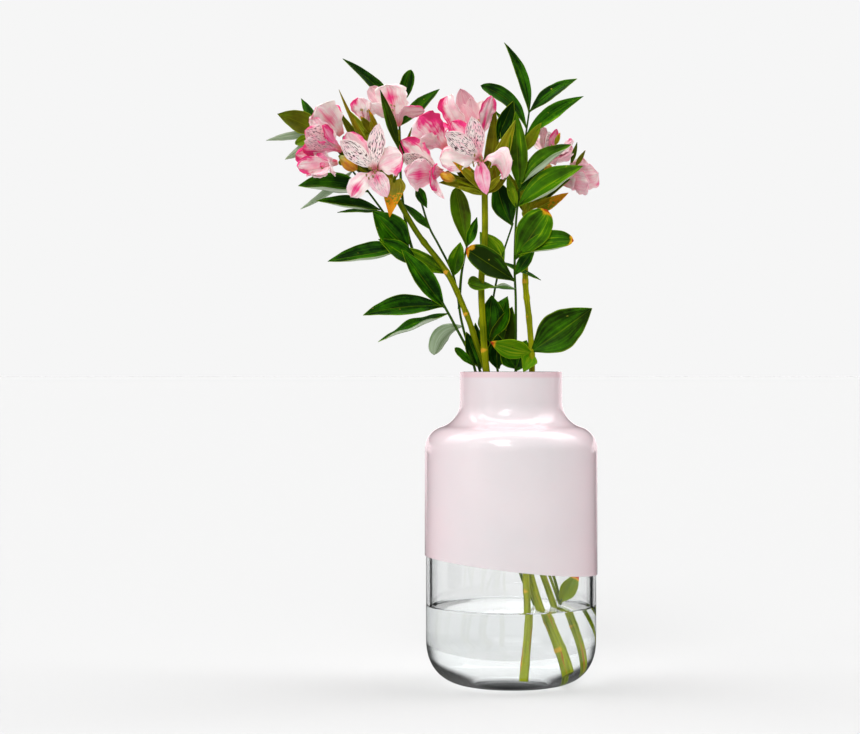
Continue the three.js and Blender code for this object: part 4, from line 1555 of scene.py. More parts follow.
@dataclass
class Bloom:
    """One flower: its petals, and stamens that bend down out of the throat.

    Attributes:
        name: The CAD node that it replaces.
        throat: Where the petals grow from.
        axis: The direction that it opens in.
        tepals: Its petals.
        scale: Its size against a full bloom.
        pale: Not used.
        open: How far its petals lie open to the front rather than edge on.
        detail: Faces across and along each petal.
        thickness: The petals' thickness.
        stamen_length: The stamens' length in a full bloom.
        thread: The radius of a stamen's thread at its root.
        anther: Half the length of the anther at its end, and its radius.
    """

    name: str
    throat: Point
    axis: Point
    tepals: list[Tepal]
    scale: float = 1.0
    pale: bool = False
    open: float = 0.9
    detail: tuple[int, int] = (16, 28)
    thickness: float = 0.45
    stamen_length: float = 21.0
    thread: float = 0.42
    anther: tuple[float, float] = (1.7, 0.75)

    def frame(self) -> tuple[Array, Array, Array]:
        """The bloom's directions: forward, right and over.

        Returns:
            Three unit vectors.
        """
        heading = unit(np.array(self.axis, float))
        upright = np.array([0.0, 1.0, 0.0]) if abs(heading[2]) > 0.9 else np.array([0.0, 0.0, 1.0])
        right = unit(np.cross(upright, heading))
        return heading, right, np.cross(heading, right)

    def petal(self, tepal: Tepal) -> Blade:
        """One petal, which leaves the throat along the axis and flares out to its tip.

        Args:
            tepal: The petal's row in the bloom's table.

        Returns:
            Its blade.
        """
        heading = self.frame()[0]
        throat = np.array(self.throat, float)
        span = np.array(tepal.tip) - throat
        rise = float(span @ heading)
        aside = span - rise * heading
        out = unit(aside)
        outer = tepal.outline is not INNER
        outward, claw, forward = (2.1, 4.2, 0.0) if outer else (1.5, 2.1, 2.0)
        bend = max(0.62 * rise, 17 * self.scale) + (forward + tepal.recurve) * self.scale
        curve = (
            tuple(throat + (heading * 2.5 + out * outward) * self.scale),
            tuple(throat + (heading * (12 + forward) + out * claw) * self.scale),
            tepal.via or tuple(throat + heading * bend + aside * 0.42),
            tepal.tip,
        )
        face = unit(heading - out)
        toward = np.array([0.0, math.copysign(self.open, face[1]), 0.0])
        return Blade(
            curve=curve,
            face=tuple(unit(face + toward)),
            width=tepal.width,
            outline=tepal.outline,
            cup=0.15 if outer else 0.3,
            twist=LOT.uniform(-12, 12),
            wave=1.5 if outer else 0.8,
            curl=0.2 if outer else 0.05,
            ruffle=1.5 if outer else 0.6,
            paint=tepal.paint,
            marks=(tepal.side, tepal.core, tepal.painted_shade, tepal.heart),
        )

    def stamens(self, stamen: Material) -> Piece:
        """Six threads, each with an anther at its end.

        Args:
            stamen: Their material.

        Returns:
            The piece.
        """
        heading, right, over = self.frame()
        made = []
        for number in range(6):
            angle = 2 * math.pi * (number + LOT.uniform(-0.3, 0.3)) / 6
            out = right * math.cos(angle) + over * math.sin(angle)
            length = self.stamen_length * self.scale * LOT.uniform(0.75, 1.05)
            start = np.array(self.throat) + heading * 3 * self.scale + out * 0.8
            middle = start + heading * length * 0.55 + out * 1.2 - over * 1.5
            end = start + heading * length * 0.92 + out * 3.0 - over * (5 + 2 * LOT.random())
            route, direction = bezier([start, middle, end], np.linspace(0, 1, 9))
            made.append(tube(route, lambda t: self.thread * (1 - t / 3), 6, (0.0, 0.0, 0.0)))
            tip = end + direction[-1] * 0.4
            half, fat = self.anther
            turn = unit(np.cross(direction[-1], right)) * half
            made.append(egg(tip - turn, tip + turn, fat, 0.5, (1.0, 0.0, 0.0)))
        piece = joined(made, f"stamens_{self.name.removeprefix('bloom_')}")
        closed(piece)
        return dressed(piece, stamen)

    def build(self, petal: Material, stamen: Material) -> list[Piece]:
        """Builds the petals and the stamens.

        Args:
            petal: The petals' material.
            stamen: The stamens' material.

        Returns:
            The two pieces.
        """
        name = f"petals_{self.name.removeprefix('bloom_')}"
        shapes = [self.petal(tepal) for tepal in self.tepals]
        piece = blades(name, shapes, [petal], self.detail, self.thickness, marked=True)
        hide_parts(self.name)
        return [piece, self.stamens(stamen)]


@dataclass
class Bud:
    """A closed bud of folded petals at the end of its stalk.

    Attributes:
        name: The CAD node that it replaces.
        tip: Its tip.
        root: Where it sits on its stalk.
        radius: Its largest radius.
        folds: How many folds it has.
        crease: How deep the creases between them are, as a share of the radius.
    """

    name: str
    tip: Point
    root: Point
    radius: float
    folds: int = 3
    crease: float = 0.16

    def build(self, material: Material) -> Piece:
        """Builds the bud: an egg, creased between its folds.

        Args:
            material: The bud's finish.

        Returns:
            The piece.
        """
        root, tip = np.array(self.root, float), np.array(self.tip, float)
        route = np.linspace(root, tip, 14)

        def girth(along: Array) -> Array:
            """The radius at places from 0 to 1: fattest past the middle, with a blunt point."""
            return self.radius * np.sin(np.pi * np.clip(along, 0, 1) ** 1.25) ** 0.7

        piece = joined([tube(route, girth, 24, (0.0, 0.0, 0.0))], f"flower_{self.name}")
        closed(piece)
        co = np.empty(len(piece.data.vertices) * 3, np.float32)
        piece.data.vertices.foreach_get("co", co)
        co = co.reshape(-1, 3).astype(float) / MM
        axis = unit(tip - root)
        out = (co - root) - ((co - root) @ axis)[:, None] * axis
        side = unit(np.cross(axis, [0.3, 0.9, 0.2]))
        angle = np.arctan2(out @ np.cross(axis, side), out @ side)
        co -= out * self.crease * (np.abs(np.sin(self.folds / 2 * angle)) ** 6)[:, None]
        piece.data.vertices.foreach_set("co", (co * MM).astype(np.float32).ravel())
        piece.data.update()
        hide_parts(self.name)
        return dressed(piece, material)


@dataclass
class Skins:
    """The plants' materials, each made once."""

    stem: Material
    wiry: Material
    leaf: Material
    under: Material
    bract: Material
    petal: Material
    stamen: Material
    bud: Material

    @classmethod
    def mixed(cls) -> "Skins":
        """Mixes all of them.

        Returns:
            The plants' materials.
        """
        greens = {"dark": "#173A02", "bright": "#7E980C", "light": "#B8C03A", "olive": "#A0820A"}
        bract = LeafUpper("alstroemeria_bract", **greens, scorch="#DDA21C", burnt="#D98C14", mottle=0.22)
        return cls(
            stem=StemSkin("alstroemeria_stem_skin", "#465A00", "#9C9E08").material(),
            wiry=StemSkin("ruscus_stem_skin", "#173404", "#476A12").material(),
            leaf=LeafUpper().material(),
            under=LeafUnder().material(),
            bract=bract.material(),
            petal=Petal().material(),
            stamen=StamenSkin().material(),
            bud=BudSkin().material(),
        )


@dataclass
class FlowerStem:
    """An alstroemeria stem: its route, its umbel of stalks, its bracts and its leaf scars.

    Attributes:
        side: Its place in the bouquet, which is in its node's name.
        radius: The stem's radius.
        route: The points that it goes through, from the foot up.
        scars: Heights at which a leaf grew.
        hub: Where the flower stalks part.
        blooms: Its flowers.
        buds: Its buds.
        bracts: The small leaves below the flowers.
        leaves: The full leaves on the stem.
        tone: How light the stem is.
        foot: How much thicker the cut stem is at its foot, as a share.
        foot_reach: How far up that goes, as a share of the stem.
        thinning: How much thinner the stem is at its top, as a share.
        scar_width: How wide the ring of a scar is.
        scar_swell: How far the stem swells there.
        hub_radius: The radius of the knot that the flower stalks grow from.
        ray_radius: The radius of a flower stalk.
        ovary_radius: The radius of the ovary below a bloom.
        ovary_length: Its length.
    """

    side: str
    radius: float
    route: list[Point]
    scars: list[float]
    hub: Point
    blooms: list[Bloom]
    buds: list[Bud]
    bracts: list[Blade]
    leaves: list[Blade] = field(default_factory=list)
    tone: float = 0.3
    foot: float = 0.32
    foot_reach: float = 0.12
    thinning: float = 0.08
    scar_width: float = 2.2
    scar_swell: float = 0.5
    hub_radius: float = 4.2
    ray_radius: float = 1.2
    ovary_radius: float = 2.6
    ovary_length: float = 6.4

    def stalk(self, throat: Array, axis: Array) -> list[Piece]:
        """A flower stalk from the hub, with the ribbed green ovary at its end.

        Args:
            throat: Where the bloom sits.
            axis: The bloom's direction.

        Returns:
            The stalk and the ovary.
        """
        hub = np.array(self.hub, float)
        end = throat - axis * 0.35
        under = end - axis * self.ovary_length * 0.8
        bend = hub + (under - hub) * 0.6 - axis * self.ovary_length * 0.6
        route = smooth_route([tuple(hub), tuple(bend), tuple(under)], 9)
        parts = [tube(route, lambda t: self.ray_radius * (1 + 0.15 * t), 10, (self.tone, 0.0, 0.0))]
        low, high = end - axis * self.ovary_length, end + axis * 0.8
        return [*parts, egg(low, high, self.ovary_radius, 0.6, (0.2, 0.0, 0.0))]

    def stem(self, material: Material) -> Piece:
        """Builds the stem, the stalks and the ovaries.

        Args:
            material: The stem's skin.

        Returns:
            The piece.
        """
        route = smooth_route(self.route, 9)
        heights = route[:, 2]
        span = lengths(route)
        places = [np.interp(z, heights, span) / span[-1] for z in self.scars]
        width = self.scar_width / span[-1]

        def girth(along: Array) -> Array:
            """The radius: the stem thins upwards and swells at each scar.

            Args:
                along: Places along the stem, from 0 to 1.

            Returns:
                The radius at each.
            """
            foot = self.foot * np.exp(-along / self.foot_reach)
            size = self.radius * (1.0 - self.thinning * along + foot)
            for place in places:
                size = size + self.scar_swell * np.exp(-(((along - place) / width) ** 2))
            return size

        def coat(across: Array, along: Array) -> Array:
            """The paint: tone, how much of a scar there is, and how far it is soaked.

            Args:
                across: Places round the stem, from -1 to 1.
                along: Places along it.

            Returns:
                Three values for each.
            """
            scar = np.zeros(len(along))
            for number, place in enumerate(places):
                side = 0.5 + 0.5 * np.cos(np.pi * (across - (-1) ** number * 0.4))
                scar = np.maximum(scar, side * np.exp(-(((along - place) / width) ** 2)))
            wet = soaked(np.interp(along, span / span[-1], heights))
            return np.stack([np.full(len(along), self.tone), scar, wet], axis=1)

        made = [tube(route, girth, 16, coat)]
        plain = (self.tone, 0.0, 0.0)
        hub = np.array(self.hub, float)
        made.append(egg(hub - [0, 0, 6.5], hub + [0, 0, 4.5], self.hub_radius, 0.6, plain))
        for bloom in self.blooms:
            made += self.stalk(np.array(bloom.throat, float), unit(np.array(bloom.axis, float)))
        for bud in self.buds:
            root = np.array(bud.root, float)
            axis = unit(np.array(bud.tip) - root)
            bend = hub + (root - hub) * 0.6 - axis * 3
            route = smooth_route([tuple(hub), tuple(bend), tuple(root + axis * 0.6)], 8)
            made.append(tube(route, lambda t: self.ray_radius + 0 * t, 10, plain))
        piece = joined(made, f"stem_{self.side}")
        closed(piece)
        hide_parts(f"alstroemeria_{self.side}")
        return dressed(piece, material)

    def build(self, skins: Skins) -> list[Piece]:
        """Builds the stem, its bracts and leaves, its blooms and its buds.

        Args:
            skins: The materials.

        Returns:
            All the pieces.
        """
        made = [self.stem(skins.stem)]
        green = blades(f"bracts_{self.side}", self.bracts, [skins.bract, skins.under], BRACT_DETAIL)
        made.append(green)
        if self.leaves:
            full = blades(f"leaves_{self.side}", self.leaves, [skins.leaf, skins.under], LEAF_DETAIL)
            made.append(full)
        for bloom in self.blooms:
            made += bloom.build(skins.petal, skins.stamen)
        made += [bud.build(skins.bud) for bud in self.buds]
        return made


@dataclass
class Sprig:
    """A ruscus sprig: a wiry stem, with branches and leathery leaves.

    Attributes:
        name: The CAD node that it replaces.
        routes: The stem and its branches, each from its foot up.
        leaves: Its leaves.
        radius: The stem's radius.
        tone: How light the stem is.
        stalk_radius: The radius of a leaf's stalk at the stem.
        stalk_share: How far the stalk runs into the leaf, as a share of its curve.
    """

    name: str
    routes: list[list[Point]]
    leaves: list[Blade]
    radius: float = 1.3
    tone: float = 0.35
    stalk_radius: float = 0.75
    stalk_share: float = 0.13

    def build(self, skins: Skins) -> list[Piece]:
        """Builds the stem with its branches, and the leaves.

        Args:
            skins: The materials.

        Returns:
            The two pieces.
        """
        made = []
        for route in self.routes:
            smooth = smooth_route(route, 8)
            heights = smooth[:, 2]

            def coat(across: Array, along: Array) -> Array:
                """The paint: tone, no scar, and how far it is soaked."""
                wet = soaked(np.interp(along, np.linspace(0, 1, len(heights)), heights))
                return np.stack([np.full(len(along), self.tone), 0 * wet, wet], axis=1)

            made.append(tube(smooth, lambda t: self.radius * (1.05 - 0.45 * t ** 2), 10, coat))
        for shape in self.leaves:
            points, _ = bezier([np.array(p) for p in shape.curve], np.linspace(0, self.stalk_share, 4))
            made.append(tube(points, lambda t: self.stalk_radius - 0.35 * t, 8, (0.5, 0.0, 0.0)))
        stem = joined(made, f"{self.name}_stem")
        closed(stem)
        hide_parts(self.name)
        dressed(stem, skins.wiry)
        green = blades(f"{self.name}_leaves", self.leaves, [skins.leaf, skins.under], LEAF_DETAIL)
        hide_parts(self.name)
        return [stem, green]


def flower_stems() -> list[FlowerStem]:
    """The three alstroemeria stems, placed as in the photograph.

    Returns:
        The left, the centre and the right stem.
    """
    left = FlowerStem(
        side="left",
        radius=2.6,
        route=[
            (52, -6, 17.5), (46, -5, 40), (36.5, -4, 70), (28, -4, 94), (8, -3, 150), (-12, -2, 220),
            (-23, -2, 276), (-29, -3, 293), (-39, -5, 322), (-56, -6, 358), (-81, -6, 391), (-103, -4, 429),
        ],
        scars=[52, 306, 321, 340, 358, 384],
        hub=(-103, -4, 429),
        blooms=[
            Bloom("bloom_left_1", (-116, -16, 444), (-0.25, -0.95, 0.15), LEFT_1, pale=True, open=0.0),
            Bloom("bloom_left_2", (-149, -14, 452), (-0.8, -0.55, -0.02), LEFT_2),
            Bloom("bloom_left_3", (-145, -8, 462), (-0.8, -0.4, 0.4), LEFT_3),
            Bloom("bloom_left_4", (-146, 8, 477), (-0.62, -0.2, 0.76), LEFT_4, scale=0.82),
            Bloom("bloom_left_5", (-99, 2, 482), (-0.3, -0.3, 0.9), LEFT_5, pale=True),
            Bloom("bloom_left_6", (-126, 10, 484), (-0.05, -0.05, 1), LEFT_6, scale=0.7),
        ],
        buds=[Bud("bud_left_1", (-133, -18, 445), (-149, -25, 457), 6.2)],
        bracts=[
            broad((-101, -1.5, 440), (-105, -24, 404), 21, arch=6, paint=(1.1, 0.6, 2.0)),
            strap((-103, 0, 431), (-151, 4, 500), 12, arch=-3, roll=20, paint=(0.2, 0.2, 0)),
            strap((-103, -2, 431), (-150, 10, 518), 7, arch=-4, roll=40, paint=(0.2, 0.7, 0)),
            strap((-103, -2, 432), (-145, 22, 504), 18, arch=-4, roll=-30, paint=(1.0, 0.2, 0)),
            strap((-103, -1, 432), (-124, 6, 500), 7, arch=-2, paint=(0.2, 0.9, 0.3)),
            strap((-115, 4, 480), (-124, 0, 500), 4, arch=1, paint=(0.1, 0.9, 1)),
            strap((-120, 6, 479), (-131, 2, 494), 7, paint=(0.3, 0.4, 0.4)),
            strap((-119, 6, 480), (-121, 2, 494), 6, paint=(0.7, 0.8, 0)),
            strap((-112, -8, 433), (-158, -6, 471), 9, paint=(0.1, 0.1, 0)),
            strap((-100, -4, 440), (-86, -16, 482), 5, arch=1, paint=(0.0, 0.6, 0.2)),
        ],
    )
    centre = FlowerStem(
        side="centre",
        radius=3.0,
        route=[
            (43, -34, 17), (34, -33, 40), (23, -31, 70), (16, -28, 94), (2, -24, 150), (-14, -18, 220),
            (-22, -14, 276), (-25, -12, 316), (-26, -10, 350), (-23, -8, 386), (-23, -6, 428),
        ],
        scars=[36, 60, 290, 310],
        hub=(-23, -6, 428),
        blooms=[
            Bloom("bloom_centre_1", (-25, -14, 453), (-0.25, -0.92, 0.2), CENTRE_1, pale=True, open=0.0),
            Bloom("bloom_centre_2", (-29, 8, 464), (-0.05, -0.12, 1), CENTRE_2, scale=1.25),
            Bloom("bloom_centre_3", (-56, -2, 463), (-0.75, -0.2, 0.62), CENTRE_3),
            Bloom("bloom_centre_4", (-57, -12, 443), (-0.82, -0.5, 0.12), CENTRE_4, scale=1.1),
        ],
        buds=[
            Bud("bud_centre_1", (-62, -24, 441), (-47, -19, 436), 4.6),
            Bud("bud_centre_2", (-43, -20, 449), (-34, -16, 441), 4.2),
        ],
        bracts=[
            strap((-23, -8, 428), (-51, -33, 451), 8, roll=20, paint=(0.7, 0.5, 1.0)),
            strap((-23, -8, 427), (-63, -18, 434), 11, roll=10, sway=3, paint=(0.5, 0.4, 0)),
            strap((-22, -6, 429), (-16, -10, 452), 14, paint=(0.4, 0.7, 0)),
            strap((-24, -6, 427), (-56, -10, 437), 9, paint=(0.05, 0.2, 0)),
            strap((-25, -9, 425), (-46, -16, 431), 5, arch=1, paint=(0.95, 0.4, 0)),
            strap((-24, -5, 429), (-48, -10, 446), 13, paint=(0.0, 0.1, 0)),
            strap((-24, -7, 428), (-40, -20, 450), 8, arch=1, paint=(0.9, 0.3, 0.2)),
            strap((-21, -8, 428), (-9, -14, 441), 6, paint=(0.95, 0.5, 0)),
            strap((-21, -7, 427), (-4, -10, 439), 8, paint=(0.3, 0.5, 0)),
            strap((-22, -8, 429), (3, -19, 488), 14, arch=1, roll=20, paint=(0.9, 0.5, 0)),
            strap((-22, -2, 430), (-14, 2, 502), 13, arch=-4, roll=-20, paint=(0.3, 0.3, 0.3)),
        ],
        tone=0.45,
        foot=0.85,
    )
    right = FlowerStem(
        side="right",
        radius=2.75,
        route=[
            (8, -47, 13.5), (12, -43, 67), (11, -40, 100), (14, -24, 190), (18, -6, 276), (16, 2, 316),
            (13, 6, 346), (13, 10, 370), (14, 14, 410),
        ],
        scars=[24, 58, 86, 286, 318, 336, 350],
        hub=(14, 14, 410),
        blooms=[
            Bloom("bloom_right_1", (31, 16, 452), (0.25, -0.45, 0.86), RIGHT_1, scale=0.9),
            Bloom("bloom_right_2", (43, 14, 436), (0.86, -0.4, 0.4), RIGHT_2),
        ],
        buds=[Bud("bud_right_1", (35, 4, 452), (30, 7, 443), 3.8)],
        bracts=[
            strap((22, 10, 410), (50, 0, 427), 10, roll=-20, paint=(0.9, 0.5, 2.2)),
            strap((15, 13, 412), (53, 2, 440), 7, roll=-30, paint=(0.1, 0.1, 0)),
            strap((13, 12, 411), (-3, 8, 446), 9, roll=20, paint=(0.6, 0.3, 0)),
            strap((13, 10, 410), (9, 4, 436), 5, arch=1, paint=(0.95, 0.5, 0)),
            strap((14, 14, 412), (27, 26, 456), 14, arch=-3, roll=10, paint=(0.9, 0.95, 0)),
            strap((15, 11, 411), (33, 2, 432), 5, paint=(0.95, 0.3, 0.2)),
            strap((16, 10, 413), (27, 2, 431), 4, paint=(0.9, 0.6, 0.9)),
            strap((17, 10, 414), (41, 0, 425), 5, arch=3, paint=(0.6, 0.9, 1)),
            strap((16, 12, 413), (44, 6, 440), 6, arch=3, paint=(0.95, 0.2, 0)),
            strap((14, 10, 411), (18, 4, 434), 4, arch=1, paint=(1, 0.2, 0)),
            strap((38, -8, 468), (42, -11, 478), 4, arch=1, paint=(0.8, 0.6, 1.2)),
            strap((52, -8, 452), (57, -8, 470), 4, arch=1, paint=(0.0, 0.1, 0)),
            strap((56, -7, 450), (64, -9, 463), 4, arch=1, paint=(0.1, 0.3, 0.5)),
        ],
        leaves=[
            leaf((17.5, -5, 289), (69, -20, 326), 35, arch=3, roll=-10, paint=(0.35, 0.05, 0.1)),
            leaf((17.5, -6, 288), (-18.5, -24, 297), 20, arch=3, roll=-30, cup=0.3, paint=(1.5, 0.15, 0.9)),
            broad((17.5, -6, 286), (10, -18, 271), 15, arch=2, paint=(1.5, 0.15, 0.3)),
        ],
        tone=0.6,
    )
    return [left, centre, right]


def sprigs() -> list[Sprig]:
    """The four ruscus sprigs, placed as in the photograph.

    Returns:
        The sprigs, from the far left to the right.
    """
    far_left = Sprig(
        "ruscus_far_left",
        [
            [
                (58, 14, 27), (55, 14, 40), (43, 14, 70), (34, 14, 94), (0, 12, 160), (-24, 8, 220),
                (-32, 0, 276), (-49, -2, 312), (-70, 0, 349), (-90, 4, 380), (-112, 8, 412),
                (-138, 14, 447), (-155, 18, 470), (-170, 18, 484),
            ],
            [(-80, 2, 363), (-87, 10, 382), (-92, 14, 404), (-96, 20, 440), (-97, 24, 480), (-98, 20, 506)],
        ],
        [
            leaf((-59, -2, 328), (-128, -18, 320), 21, roll=30, sway=4),
            leaf((-54.5, -1.5, 322), (-115, -22, 297), 15, roll=45, twist=20, wave=1.5, fold=-0.35),
            leaf((-90, 4, 380), (-159, -6, 367), 20, roll=30, fold=-0.25),
            leaf((-89, 4, 378), (-120, -14, 410), 28, roll=15),
            leaf((-81, 2, 365), (-115, -12, 386), 17, roll=25),
            leaf((-125, 11, 429), (-185, 0, 433), 25, roll=35, sway=3, fold=-0.3, paint=(0.25, 0, 0)),
            leaf((-114, 9, 413), (-169, -2, 420), 16, roll=40, fold=-0.25),
            slim((-112, 9, 411), (-151, 2, 410), 8, roll=60),
            slim((-138.5, 14, 447.3), (-184, 16, 414), 8, roll=150, arch=3, sway=3, paint=(0.5, -1, 0)),
            leaf((-58, -1, 327), (-95, -14, 377), 19, roll=20),
            slim((-66, -1, 341), (-86, 8, 366), 9, roll=40),
            leaf((-166, 18, 481), (-204, 12, 497), 20, roll=10, sway=1, paint=(0.25, 0.5, 0)),
            slim((-168, 18, 482), (-184, 24, 512), 10, roll=20),
            slim((-168, 18, 481), (-214, 14, 474), 9, roll=140, paint=(0.5, -1, 0)),
            leaf((-162, 18, 476), (-197, 10, 457), 11, roll=150, arch=2, paint=(0.5, -1, 0)),
            blunt((-166, 18, 479), (-188, 6, 470), 10, roll=20, arch=2, paint=(0.8, 0.4, 0)),
            blunt((-32, 0, 276), (-49, -12, 292), 8, roll=30, arch=1),
            leaf((-28, 2, 276), (-39, -5, 306), 13, roll=10, arch=1, paint=(0.1, 0, 0)),
            leaf((-26, 3, 274), (-31, 2, 314), 12, roll=-15, arch=1, paint=(0.05, 0, 0)),
            # Painted light: this leaf inside the vase is painted much brighter than the others, to stand in
            # for light that the vase and the flowers above keep from it.
            leaf((43.5, 14, 69), (61, 13, 95), 15, roll=-10, arch=2, paint=(1.5, 0.75, 1.3)),
            leaf((-97, 22, 500), (-147, 16, 546), 11, roll=25, arch=3, sway=2, paint=(0.15, 0, 0)),
            blunt((-97.5, 20, 504), (-87, 14, 536), 12, roll=10, arch=2, paint=(0.2, 0, 0)),
            leaf((-97, 24, 488), (-62, 14, 519), 14, roll=-25, arch=3, fold=0.2),
        ],
    )
    rising = Sprig(
        "ruscus_left",
        [
            [
                (55, 27, 27), (54, 27, 40), (45, 27, 70), (38, 26, 94), (8, 22, 150), (-14, 16, 220),
                (-28, 9, 276), (-37, 8, 295), (-43, 7, 316), (-47, 6, 342), (-51, 5, 358), (-63, 3, 382),
                (-71, 0, 397), (-82, -6, 432), (-89, -14, 450), (-97, -20, 470),
            ],
            [(-45, 7, 326), (-43, 6, 356), (-38, 5, 382)],
        ],
        [
            leaf((-97, -20, 462), (-113, -34, 512), 9, roll=15, arch=2, paint=(0.05, 0.1, 0)),
            blunt(
                (-41.5, 7, 311), (-67, 2, 286), 17, roll=160, arch=3, sway=-8, fold=-0.25, paint=(0.5, -1, 0)
            ),
            leaf((-57, 3, 357), (-93, -1, 379), 17, roll=20, arch=1, fold=0.3, paint=(0.8, 0.2, 0)),
            slim((-71, 0, 396), (-94, 5, 418), 8, roll=20),
            slim((-82, -6, 432), (-73, -12, 413), 9, roll=10, arch=1),
            leaf((-50, 6, 355), (-44, 2, 384), 16, roll=10, arch=2, fold=0.3, paint=(0.8, 0.1, 0)),
            blunt((-38.5, 5, 380), (-48, 6, 432), 17, roll=10, arch=3, paint=(0.35, 0.25, 0)),
            slim((-38, 5, 381), (-29.5, 2, 406), 9, roll=10),
            slim((-29, 8.5, 276), (-37, 3, 303), 9, roll=10, arch=-1),
        ],
    )
    middle = Sprig(
        "ruscus_middle",
        [[
            (36, 9, 13), (20, 7, 70), (9, 6, 94), (0, 4, 150), (-5, 4, 220), (-12, 4, 276), (-17, 4, 299),
            (-18, 4, 316), (-15, 4, 337), (-8, 4, 370), (2, 4, 401),
        ]],
        [
            leaf((-17, 4, 296), (-17, -3, 338), 26, roll=20, arch=2),
            leaf((-17.5, 4, 300), (-3, -1, 337), 22, roll=-25, arch=2),
            leaf((-6, 4, 365), (-27, 2, 393), 20, roll=10, arch=2, paint=(0.9, 0.2, 0)),
            leaf((1, 4, 399), (-13, 2, 439), 22, roll=15, arch=-2, paint=(0.15, 0, 0)),
            slim((-8, 4, 367), (26, -1, 351), 7, roll=-50, arch=1),
            leaf((-12, 4, 274), (-12, -8, 304), 20, roll=10, arch=2, paint=(0.15, 0, 0)),
            leaf((-13, 5, 278), (1, 0, 328), 24, roll=-12, arch=2, paint=(0.1, 0.1, 0)),
            leaf((-10, 6, 274), (-18, 8, 318), 16, roll=10, arch=1, paint=(0.0, 0, 0)),
        ],
    )
    tall = Sprig(
        "ruscus_tall",
        [[
            (38, -20, 13), (24, -18, 70), (16, -16, 100), (12, -15, 120), (6, -12, 170), (4, -6, 235),
            (4, -3, 276), (4, -4, 334), (3, -5, 360), (4, -6, 399), (7, -6, 429), (11, -4, 464),
            (16, -2, 499),
        ]],
        [
            leaf((15.5, -2, 496), (-6, -4, 557), 11, roll=20, arch=2, sway=5, paint=(0.3, 0, 0)),
            leaf((16, -2, 497), (57, -8, 525), 13, roll=-25, sway=-2, paint=(0.25, 0, 0)),
            leaf((12.5, -3, 475), (62, -14, 509), 14, roll=-20, sway=-3, keel=0.55, paint=(0.5, 0, 0)),
            blunt((13.5, -3, 482), (-26.5, -2, 520), 14, roll=20, sway=7),
            leaf((9.5, -4, 454), (3, 4, 506), 20, roll=10, arch=-2, sway=-6, paint=(0.1, 0, 0)),
            leaf((-12, 0, 472), (2, -9, 506), 14, roll=10, arch=1, paint=(0.0, 0, 0)),
            leaf((7, -6, 429), (3.5, -16, 496), 17, roll=10, arch=2, paint=(0.5, 0.15, 0)),
            slim((12, -3, 470), (-14, 10, 500), 7, roll=20, arch=-1),
            slim((11, -4, 462), (26, -8, 487), 10, roll=-10, paint=(0.9, 0.9, 0)),
            leaf((8, -6, 434), (51, -18, 467), 22, roll=-35, sway=-3, fold=0.45, paint=(0.5, 0.1, 0)),
            leaf((6, -6, 415), (61, -22, 448), 25, roll=-30, sway=-3, fold=0.2, paint=(0.7, 0.1, 0)),
            slim((7.5, -6, 428), (31, -1, 453), 10, roll=-10),
            blunt((3.5, -5, 369), (31, -14, 411), 29, roll=-10, paint=(0.6, 0.1, 0.75)),
            blunt((3.5, -5, 372), (53, -22, 384), 20, roll=-25, sway=-4, fold=0.2, paint=(0.6, 0.05, 0.9)),
            leaf((3, -5, 355), (21, -8, 380), 11, roll=-10, arch=2),
            slim((4.5, -6, 414), (-4, -12, 441), 8, paint=(0.9, 0.4, 0)),
            slim((6, -5, 440), (3, -8, 482), 9, arch=1, paint=(0.6, 0.8, 0)),
            blunt((3, -5, 350), (-39, -28, 377), 23, roll=15, paint=(0.05, 0.05, 0.85)),
            blunt((4, -5, 343), (-38, -30, 347), 17, roll=150, twist=-140, paint=(0.6, 0.2, 0)),
            leaf((4, -3, 272), (14, 8, 299), 20, roll=10, arch=1),
            leaf((4, -3, 274), (-8, -14, 296), 18, roll=10, arch=2),
        ],
    )
    return [far_left, rising, middle, tall]


class Softbox(Enum):
    """The soft lights round the vase, each a patch of the sky that spares the camera.

    Each holds its direction, its half-widths across and along that direction, and its strength.
    """

    OVERHEAD = ((0.0, 0.16, 1.0), (0.8, 0.3), 4.6)
    FRONT = ((-0.12, -1.0, 0.42), (0.3, 0.3), 1.3)
    LAMP = ((-0.2, -1.0, 0.62), (0.14, 0.06), 9.0)
    WINDOW = ((-0.85, -0.62, 0.5), (0.12, 0.4), 1.6)


